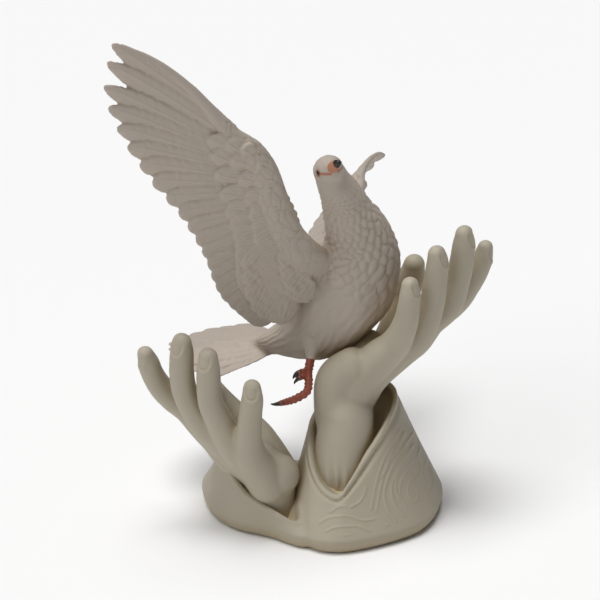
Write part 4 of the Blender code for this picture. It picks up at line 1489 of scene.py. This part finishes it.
@dataclass
class Hand:
    """A hand with its forearm: five fingers from the wrist that lie side by side in the palm.

    Fingers, forearm and heel are rows of x, y, z, half width and half depth. The palm is an ellipsoid:
    its centre, radii and axes. Creases are lines in the skin of the wrist that fade in at their start.
    """
    name: str
    facing: tuple
    fingers: dict
    forearm: tuple
    nails: dict
    heel: tuple = ()
    palm: tuple = ()
    creases: tuple = ()
    grain: float = 0.82
    # Height above the floor at which the forearm ends inside the sleeve
    foot: float = 2.0
    # Wrinkles over the knuckles: distances from the finger's tip, steps between them, and depth
    knuckles: tuple = (22.0, 44.0)
    wrinkles: tuple = (-1.7, 0.0, 1.7)
    wrinkle_depth: float = 0.14
    # Depth and half width of a crease, and height, distance and half width of the swelling beside it
    crease: tuple = (1.3, 1.7)
    swelling: tuple = (0.5, 3.2, 1.6)

    def build(self) -> None:
        """Model the hand and hand it over."""
        source = Source()
        order = list(self.fingers)
        for finger in order:
            source.limb(self.fingers[finger], self.facing, f"{self.name}_{finger}", Kind.LIMB,
                        sides=40, rings=90, ends=10)
        source.limb(self.forearm, self.facing, f"{self.name}_forearm", Kind.LIMB, sides=56, rings=70)
        if self.heel:
            source.limb(self.heel, self.facing, f"{self.name}_heel", Kind.LIMB, sides=40)
        if self.palm:
            centre, radii, axes = self.palm
            source.ball(centre, radii, axes, f"{self.name}_palm", Kind.LIMB)
        casting = Casting(source, self.name, self.grain, 2)
        casting.soften_joins((Kind.LIMB,), 7, 18)
        casting.soften_joins((Kind.LIMB,), 26, 110, len(order))
        casting.look_up()
        height = self.skin_relief(casting, order)
        for finger, nail in self.nails.items():
            height += self.nail_relief(casting, order.index(finger), self.fingers[finger], nail)
        casting.raise_by(height)
        casting.keep_hollows()
        points = read(casting.mesh)
        points[:, 2] = np.maximum(points[:, 2], self.foot * UNIT)
        place(casting.mesh, points)
        hand_over(casting.thing, HAND_BISQUE.material(), "hands_and_sleeves")

    def skin_relief(self, casting: Casting, order: Sequence[str]) -> np.ndarray:
        """Heights of the joints' wrinkles and of the creases in the wrist.

        Args:
            casting: the fused hand.
            order: the fingers, in the order of the casting's shapes.

        Returns:
            A height for each point, in units.
        """
        points = casting.points()
        rest = casting.length - casting.at["along"] * casting.length
        finger = casting.ident < len(order)
        height = 0.03 * wander(points, 7.0, 71)
        sway = wander(points, 9.0, 72)
        for knuckle in self.knuckles:
            for off in self.wrinkles:
                line = bell(rest - knuckle - off + 0.4 * sway, 0.55)
                height -= np.where(finger, self.wrinkle_depth * line
                                   * ease(casting.at["face"], 0.1, 0.7), 0)
        depth, half = self.crease
        swell, beside, swell_half = self.swelling
        for crease in self.creases:
            ends = np.asarray(crease, float)
            run = ends[1] - ends[0]
            share = np.clip((points - ends[0]) @ run / (run @ run), 0, 1)
            away = np.linalg.norm(points - ends[0] - share[:, None] * run, axis=1)
            height -= depth * bell(away, half) * ease(share, 0.0, 0.6)
            height += swell * bell(away - beside, swell_half) * ease(share, 0.0, 0.6)
        return height

    def nail_relief(self, casting: Casting, ident: int, run: Stations, nail: Nail) -> np.ndarray:
        """Heights of one nail's plate, groove and fold, in units.

        Args:
            casting: the fused hand.
            ident: which shape the finger is.
            run: the finger's stations.
            nail: the nail.

        Returns:
            A height for each point.
        """
        tip = np.asarray(run[-1][:3], float)
        back = np.asarray(run[-2][:3], float)
        along = unit(tip - back)
        out = unit(np.asarray(nail.facing) - along * np.dot(along, nail.facing))
        side = np.cross(along, out)
        top = tip + along * min(run[-1][3:]) * 0.75
        local = casting.points() - top
        reach = -(local @ along)
        off = local @ side
        front = local @ out
        half, half_width = nail.length * 0.5, nail.width * 0.5
        shape = ((np.abs(reach - half) / half) ** nail.corners
                 + (np.abs(off) / half_width) ** nail.corners)
        edge = (1 - shape ** (1 / nail.corners)) * nail.width * 0.5
        # A sunk plate inside the edge, a groove along it and a fold of skin outside it
        plate = -0.22 * ease(edge, -0.1, 0.35)
        groove = -0.38 * bell(edge - 0.15, 0.42) * ease(reach, 1.5, 3.5)
        fold = 0.30 * bell(edge + 1.0, 0.8) * ease(reach, 2.0, 5.0)
        use = (casting.ident == ident) & (front > 0)
        return np.where(use, plate + groove + fold, 0.0)


RIGHT_HAND = Hand(
    name="right_hand",
    facing=(-0.62, -0.72, -0.3),
    fingers={
        "index": ((-41, -20, 36, 13, 11), (-53, -15, 43, 12, 10.5), (-62, -12.6, 53.1, 10.5, 10),
                  (-70.4, -12.1, 62, 9.8, 9.4), (-78.5, -12.2, 71.8, 9, 8.8),
                  (-88, -14, 79.6, 7.9, 7.8),
                  (-94.5, -16.7, 88, 7.2, 7.2), (-98.9, -19.7, 97.5, 6.8, 6.6),
                  (-100.9, -22.4, 105.8, 6.5, 6.1), (-102.4, -24, 111.5, 5.2, 4.8)),
        "middle": ((-36, -24, 34, 13, 11), (-47, -24, 46, 11.5, 10.5), (-57.5, -25, 56.5, 10.3, 9.8),
                   (-67.5, -26, 67, 9.2, 9), (-74.5, -28, 78, 8.1, 8), (-79.5, -31, 91, 7.5, 7.4),
                   (-81, -33, 104, 7.4, 7), (-80.5, -34.5, 117, 7.1, 6.5),
                   (-80.2, -35.6, 123.7, 5.8, 5.2)),
        "ring": ((-33, -28, 34, 13, 11), (-41, -31, 45, 11.5, 10.5), (-48, -33, 53.5, 10.2, 9.6),
                 (-54, -35, 63.5, 9.2, 9), (-59.5, -38, 75.5, 8.2, 8), (-64, -41, 88, 7.5, 7.4),
                 (-65, -42, 99, 7.3, 7), (-65, -43, 110, 7, 6.4), (-65, -43, 117.5, 5.7, 5.2)),
        "little": ((-31.5, -30, 31.5, 13, 12), (-36.5, -35, 43, 11.5, 10.5), (-41, -39, 53.5, 9.8, 9.4),
                   (-42.5, -42, 64, 8.2, 8.2), (-42, -45, 74, 7.2, 7.2), (-41, -47, 85, 6.7, 6.6),
                   (-40, -48.1, 93.5, 6.5, 6.1), (-40, -48.6, 100.7, 5.3, 4.9)),
        "thumb": ((-27, -16, 32, 14, 13), (-34, -6.1, 40.6, 13, 12.5), (-39.5, 3, 47, 11.5, 11),
                  (-46.5, 8, 53.5, 10, 9.6), (-54.5, 9.5, 60.5, 9, 8.6), (-61.5, 8.5, 69.5, 8.2, 7.8),
                  (-65.5, 6, 77, 7.4, 6.8), (-67.5, 4, 82.5, 5.8, 5.2)),
    },
    forearm=((-21, -25, 0, 9, 11), (-23, -26, 10, 9.5, 12), (-27.5, -25.5, 22, 13, 13.5),
             (-32, -24.5, 34, 17, 14.5), (-38, -22, 43, 16, 12)),
    nails={"index": Nail((-0.9, -0.35, 0.1)), "middle": Nail((-0.62, -0.78, 0.0)),
           "ring": Nail((-0.5, -0.86, 0.0)), "little": Nail((-0.12, -0.98, 0.0), 9.0, 6.6),
           "thumb": Nail((0.1, 0.9, 0.3), 10.0, 8.0)},
    palm=((-25, -31, 38), (12, 10, 13), ((1, 0, 0), (0, 1, 0), (0, 0, 1))),
)

LEFT_HAND = Hand(
    name="left_hand",
    facing=(0.80, -0.35, -0.48),
    fingers={
        "index": ((22.5, 8, 81, 12.5, 11.5), (39, 15, 93.5, 11.5, 11), (53, 19, 104, 10.5, 10),
                  (67, 22.4, 116.1, 9.6, 9.2), (80.5, 23.9, 127, 8.6, 8.4), (88, 24, 137, 7.5, 7.4),
                  (93, 24, 146, 7, 6.8), (96, 24, 154, 6.4, 6.2), (97.4, 23.7, 160.5, 5, 4.8)),
        "middle": ((19.5, 1, 78, 12.5, 12), (37, 7.2, 98, 11.6, 11), (53.7, 9.6, 106.2, 11, 10.5),
                   (63.9, 10.4, 118.9, 10, 9.6), (74.5, 9, 129, 8.8, 8.6), (79.5, 8.5, 143, 7.8, 7.6),
                   (82, 7.5, 157, 7.4, 7.2), (83, 7, 168.5, 7.1, 6.6), (83, 6.5, 174.8, 5.8, 5.2)),
        "ring": ((20.5, -3, 75, 12.5, 12), (29.5, -3.6, 90, 11.5, 11), (45.1, -3.4, 104.2, 10.5, 10.2),
                 (54.5, -5, 113, 9.8, 9.4), (60.5, -7, 125, 8.6, 8.4), (64, -9, 137.5, 7.7, 7.5),
                 (65.5, -10, 150.5, 7.3, 7), (66.5, -10, 162, 6.9, 6.4), (66, -10.3, 168, 5.8, 5.2)),
        "little": ((15.5, -8, 76, 15, 13), (22.5, -10, 92, 13.5, 12), (33, -13, 104.5, 11.5, 10.8),
                   (41, -16, 113, 10, 9.4), (45.5, -20, 122, 8.2, 8.2), (48.5, -23, 132.5, 7.2, 7.2),
                   (49.5, -25, 141, 6.7, 6.6), (50, -26, 148, 6.4, 6.1), (50, -26, 154.5, 5.3, 5)),
        "thumb": ((19, 8, 66, 14, 12.5), (25, 16.5, 78, 12.5, 11.5), (36, 26, 88, 11.8, 11.2),
                  (42, 33, 99.5, 10.2, 9.8), (47, 38, 111.5, 9.2, 9), (51, 40.5, 123.5, 9, 8.6),
                  (54.5, 39, 136, 9, 8.2), (56, 37, 145.5, 7, 6.4)),
    },
    forearm=((9, -29, 8, 8, 9), (9.3, -30.5, 22, 8.5, 10.5), (10.3, -27.5, 36, 12, 13.5),
             (12, -20, 50, 17.5, 16), (14.8, -12.5, 62, 21, 16.5), (14.3, -7, 74, 19, 15.5),
             (15, -4, 86, 16, 14)),
    nails={"index": Nail((0.9, -0.3, 0.1)), "middle": Nail((0.9, -0.42, 0.0), 11.0, 7.6),
           "ring": Nail((0.86, -0.5, 0.0), 11.0, 7.6), "little": Nail((0.8, -0.6, 0.0), 9.5, 6.8),
           "thumb": Nail((0.3, 0.9, 0.2), 11.0, 9.0)},
    heel=((9.3, -9, 62, 14, 12), (8.3, -9.5, 75, 15, 12.5), (9.4, -10, 90, 14.7, 12.5),
          (18, -12, 99, 12.5, 11.5)),
    palm=((23, 8, 96), (22, 12, 19), ((0, 1, 0), (-0.8, 0, 0.6), (0.6, 0, 0.8))),
    creases=(((4.5, -32.5, 58), (8.2, -42.3, 20)), ((11.5, -34.5, 54), (10.2, -42.3, 20))),
)


# The sleeves

@dataclass
class Sleeve:
    """A sleeve from its hem on the floor to its cuff, open beside the wrist."""
    name: str
    hem: tuple
    rim: tuple
    wall: float = 4.2
    # How far the foot of the sleeve stands out, the height of its rounding, and the cuff's hollow
    flare: float = 5.0
    edge: float = 9.0
    depth: float = 12.0
    # The rolled rim: steps outwards and up from its line
    roll: tuple = ((-0.5, -3.4), (0.0, -2.2), (0.35, -1.0), (0.15, 0.3), (-0.9, 1.0), (-2.6, 0.8),
                   (-3.8, -0.4))

    def build(self, source: Source) -> None:
        """Shape the sleeve as one closed skin: under, outside, over the rim and down inside.

        Args:
            source: where the shape goes.
        """
        sides, rings = 240, 96
        mesh, ring, turn, pole = STOCK.take(sides, rings)
        count = len(self.hem)
        where = np.linspace(0, count, sides, endpoint=False)
        low = smooth_run(self.hem, where, closed=True)
        low = np.column_stack((low, np.zeros(sides)))
        high = smooth_run(self.rim, where, closed=True)
        middle = low.mean(axis=0)
        out = (low - middle) / np.linalg.norm(low - middle, axis=1)[:, None]
        foot = low + out * self.flare + UP * self.edge
        heart = high.mean(axis=0)
        normal = unit(np.cross(high - heart, np.roll(high, -1, axis=0) - heart).sum(axis=0))
        inward = heart - high
        room = np.linalg.norm(inward, axis=1)[:, None]
        inward /= room

        def inner(shrink: float, level: float) -> np.ndarray:
            """A ring inside the cuff."""
            step = inward * (self.wall + shrink * (room - self.wall))
            return high + step + normal * level * self.depth

        # Rings of points: under the sleeve, up its outside, over the rim and down into the cuff
        profile = [np.repeat(middle[None], sides, 0), middle + (low - middle) * 0.97, low]
        for angle in (25, 50, 75):
            turned = math.radians(angle)
            profile.append(low + out * self.flare * math.sin(turned)
                           + UP * self.edge * (1 - math.cos(turned)))
        profile.append(foot)
        profile += [foot + (high - foot) * share for share in (0.2, 0.4, 0.6, 0.8, 0.9)]
        for out_by, up_by in self.roll:
            profile.append(high - inward * out_by + normal * up_by)
        profile += [inner(0.0, -0.14), inner(0.06, -0.34), inner(0.24, -0.7), inner(0.5, -1.0),
                    np.repeat((heart - normal * self.depth)[None], sides, 0)]
        table = np.array(profile)
        spots = ring / rings * (len(profile) - 1)
        below = np.clip(np.floor(spots).astype(int), 0, len(profile) - 2)
        share = (spots - below)[:, None]
        column = np.rint(turn / (2 * math.pi) * sides).astype(int) % sides
        points = table[below, column] * (1 - share) + table[below + 1, column] * share
        around = column / sides
        source.add(mesh, points, self.name, Kind.CLOTH, float(len(profile) - 1), float(sides),
                   spots / (len(profile) - 1), np.sin(around * 2 * math.pi),
                   np.cos(around * 2 * math.pi))


@dataclass
class Lace:
    """Raised cords of a plain lace pattern, as they lie in the camera's square frame of 600."""
    rise: float = 0.5
    # Half the width of a cord, in the frame's pixels
    half: float = 1.05
    # Stretch of the sleeve's skin, from its middle underneath to its middle inside, with lace on it
    outside: tuple = (0.29, 0.52)
    # Places looked at for each point of a cord
    samples: int = 12
    # The upright line that the pattern is turned half round about, for the back
    middle: tuple = (27.0, 0.0)
    cords: tuple = (
        ((399, 431), (391, 447), (382, 463), (376, 483), (371, 509)),
        ((404, 433), (396, 450), (387, 466), (381, 485), (376, 511)),
        ((414, 431), (405, 445), (396, 460), (390, 472), (386, 483), (384, 495), (386, 506), (391, 516),
         (399, 523), (408, 525), (416, 523)),
        ((413, 445), (404, 459), (397, 472), (392, 485), (392, 498), (397, 509), (406, 516)),
        ((412, 460), (406, 471), (400, 484), (400, 496), (406, 507)),
        ((413, 475), (408, 484), (408, 494), (413, 502), (418, 496), (416, 488)),
        ((424, 446), (427, 458), (424, 470), (428, 482), (425, 494), (428, 506), (422, 516)),
        ((319, 523), (327, 518), (338, 516), (349, 516), (362, 520), (374, 519)),
        ((326, 531), (336, 527), (347, 526), (358, 526), (370, 531), (382, 533)),
        ((338, 538), (350, 535), (362, 537), (376, 541), (392, 539), (404, 534)),
        ((350, 507), (358, 503), (363, 496), (366, 487)),
        ((394, 447), (389, 458), (385, 470), (380, 478)),
        ((418, 436), (420, 446), (418, 456), (421, 466), (419, 478)),
        ((431, 470), (434, 482), (431, 494), (434, 506)),
        ((399, 470), (396, 480), (396, 491), (400, 500)),
        ((330, 512), (338, 507), (346, 506)), ((386, 524), (393, 529), (402, 531), (412, 530)))

    def relief(self, casting: Casting) -> np.ndarray:
        """Heights of the cords on the outside of the left sleeve.

        Args:
            casting: the fused sleeves, of which the left one is the first shape.

        Returns:
            A height for each point, in units.
        """
        points, normals = casting.points(), read(casting.mesh, "normal")
        along = casting.at["along"]
        outside = (along > self.outside[0]) & (along < self.outside[1]) & (casting.ident == 0)
        total = np.zeros(len(points))
        middle = np.array((*self.middle, 0.0))
        studio = Studio()
        for turn in (1.0, -1.0):
            flip = np.array((turn, turn, 1.0))
            seen = studio.frame_spots((points - middle) * flip + middle)
            front = ease((normals * flip) @ studio.towards(), 0.05, 0.35)
            use = np.flatnonzero(outside & (front > 0))
            near = np.full(len(use), np.inf)
            for cord in self.cords:
                places = np.linspace(0, len(cord) - 1, self.samples * len(cord))
                for x, y in smooth_run(cord, places):
                    near = np.minimum(near, np.hypot(seen[use, 0] - x, seen[use, 1] - y))
            total[use] = np.maximum(total[use], self.rise * bell(near, self.half) * front[use])
        return total


@dataclass
class Sleeves:
    """Both sleeves, run together at their hems, with a raised lace pattern."""
    grain: float = 0.8
    # Where on the skin the painted light inside a cuff begins, and its share
    inside: tuple = (0.85, 0.92)
    cuff_light_share: float = 0.9
    # Plane between the sleeves: a place and the way to the left one
    plane: tuple = ((-8, 0, 0), (1, 0, 0))
    left: Sleeve = field(default_factory=lambda: Sleeve(
        "left_sleeve",
        ((12, -56), (37, -45.5), (57, -30), (67.5, -6), (70, 19), (63, 42), (40, 53), (12, 49),
         (-8, 28), (-15, -4), (-14, -34), (-5, -51)),
        ((8.7, -48, 30), (16.3, -44, 37.5), (26.3, -36, 51), (36.6, -24, 62.9), (44.3, -7, 73.5),
         (44, 9, 77.5), (36, 18, 77), (8, 20, 72), (-5.5, 4, 61), (-8.5, -16, 54), (-7.5, -31, 45),
         (-1.5, -42.5, 35))))
    right: Sleeve = field(default_factory=lambda: Sleeve(
        "right_sleeve",
        ((-12, -49.5), (2, -44), (8, -18), (8, 12), (-4, 38), (-28, 50), (-52, 50), (-66, 34),
         (-68.5, 12), (-60.5, -13), (-48.5, -27.5), (-30, -37)),
        ((-13.5, -48, 13.5), (-11.5, -42, 21), (-10.5, -30, 25), (-10, -14, 27.5), (-14, 0, 30),
         (-26, 8, 35), (-42, 8, 41), (-54, 0, 44), (-61, -9, 42), (-57.5, -20, 38), (-46, -34, 27),
         (-29, -43, 19))))

    def build(self) -> None:
        """Model both sleeves and hand them over."""
        source = Source()
        self.left.build(source)
        self.right.build(source)
        casting = Casting(source, "right_sleeve_cloth", self.grain, 2)
        casting.soften_joins((Kind.CLOTH,), 9, 26)
        casting.raise_by(0.05 * wander(casting.points(), 11.0, 81) + Lace().relief(casting))
        casting.keep_hollows()
        # Painted light: how much of the paler ochre colour goes inside the cuffs
        note(casting.mesh, "inner", ease(casting.at["along"], *self.inside) * self.cuff_light_share)
        points = read(casting.mesh)
        points[:, 2] = np.maximum(points[:, 2], 0.0)
        place(casting.mesh, points)
        left = part_off(casting.thing, *self.plane, "left_sleeve_cloth")
        finish = HAND_BISQUE.material()
        for thing in (casting.thing, left):
            hand_over(thing, finish, "hands_and_sleeves")


# The studio

@dataclass
class Studio:
    """Camera, pale floor and soft light."""
    target: tuple = (-12.8, -5.0, 138.0)
    elevation: float = 20.0
    distance: float = 1100.0
    lens: float = 113.0
    sensor: float = 36.0
    # Width of the camera's square frame in pixels
    frame_width: float = 600.0
    floor_size: float = 12000.0
    # Name, way of the light, strength, and the angle that its source fills in degrees
    suns: tuple = (("top_light", (0.14, 0.02, -1.0), 2.45, 34.0),
                   ("side_light", (0.75, 0.55, -0.75), 0.62, 40.0))
    sky: float = 0.13

    def towards(self) -> np.ndarray:
        """The direction from the statue to the camera."""
        angle = math.radians(self.elevation)
        return np.array((0.0, -math.cos(angle), math.sin(angle)))

    def frame_spots(self, points: np.ndarray) -> np.ndarray:
        """Where points show in the camera's frame.

        Args:
            points: places in units, one row each.

        Returns:
            Pixels to the right of and below the frame's upper left corner, one row for each place.
        """
        away = points - np.asarray(self.target)
        towards = self.towards()
        up = UP - towards * towards[2]
        up /= np.linalg.norm(up)
        scale = self.lens / self.sensor * self.frame_width / (self.distance - away @ towards)
        middle = self.frame_width / 2
        return np.column_stack((middle + away[:, 0] * scale, middle - away @ up * scale))

    def camera(self) -> None:
        """Stand the camera where the photograph was taken from."""
        data = bpy.data.cameras.new("camera")
        data.lens = self.lens
        data.sensor_width = self.sensor
        data.clip_end = 100.0
        thing = bpy.data.objects.new("camera", data)
        bpy.context.scene.collection.objects.link(thing)
        thing.location = (Vector(self.target) + Vector(self.towards()) * self.distance) * UNIT
        thing.rotation_euler = (math.pi / 2 - math.radians(self.elevation), 0.0, 0.0)
        bpy.context.scene.camera = thing

    def floor(self) -> None:
        """Lay a plain pale floor."""
        clear_selection()
        bpy.ops.mesh.primitive_plane_add(size=self.floor_size * UNIT)
        thing = bpy.context.object
        thing.name = "floor"
        made = bpy.data.materials.new("pale_floor")
        made.use_nodes = True
        shader = made.node_tree.nodes["Principled BSDF"]
        shader.inputs["Base Color"].default_value = (0.93, 0.93, 0.93, 1.0)
        shader.inputs["Roughness"].default_value = 0.9
        shader.inputs["Specular IOR Level"].default_value = 0.1
        thing.data.materials.append(made)

    def sun(self, name: str, aim: Sequence[float], strength: float, softness: float) -> None:
        """Shine an even, soft light over the whole floor.

        Args:
            name: its name.
            aim: the way that the light travels.
            strength: its strength.
            softness: the angle that its source fills, in degrees.
        """
        data = bpy.data.lights.new(name, 'SUN')
        data.energy = strength
        data.angle = math.radians(softness)
        thing = bpy.data.objects.new(name, data)
        bpy.context.scene.collection.objects.link(thing)
        thing.rotation_euler = Vector(aim).to_track_quat('-Z', 'Y').to_euler()

    def build(self) -> None:
        """Set up the camera, floor and lights."""
        self.camera()
        self.floor()
        for sun in self.suns:
            self.sun(*sun)
        world = bpy.data.worlds.new("studio")
        world.use_nodes = True
        back = world.node_tree.nodes["Background"]
        back.inputs["Color"].default_value = (1.0, 1.0, 1.0, 1.0)
        back.inputs["Strength"].default_value = self.sky
        bpy.context.scene.world = world
        bpy.context.scene.view_settings.view_transform = 'Standard'


def main() -> None:
    """Build the statue and its studio."""
    logging.basicConfig(level=logging.INFO)
    clear_selection()
    Studio().build()
    Bird().build()
    RIGHT_HAND.build()
    LEFT_HAND.build()
    Sleeves().build()


if __name__ == "__main__":
    main()
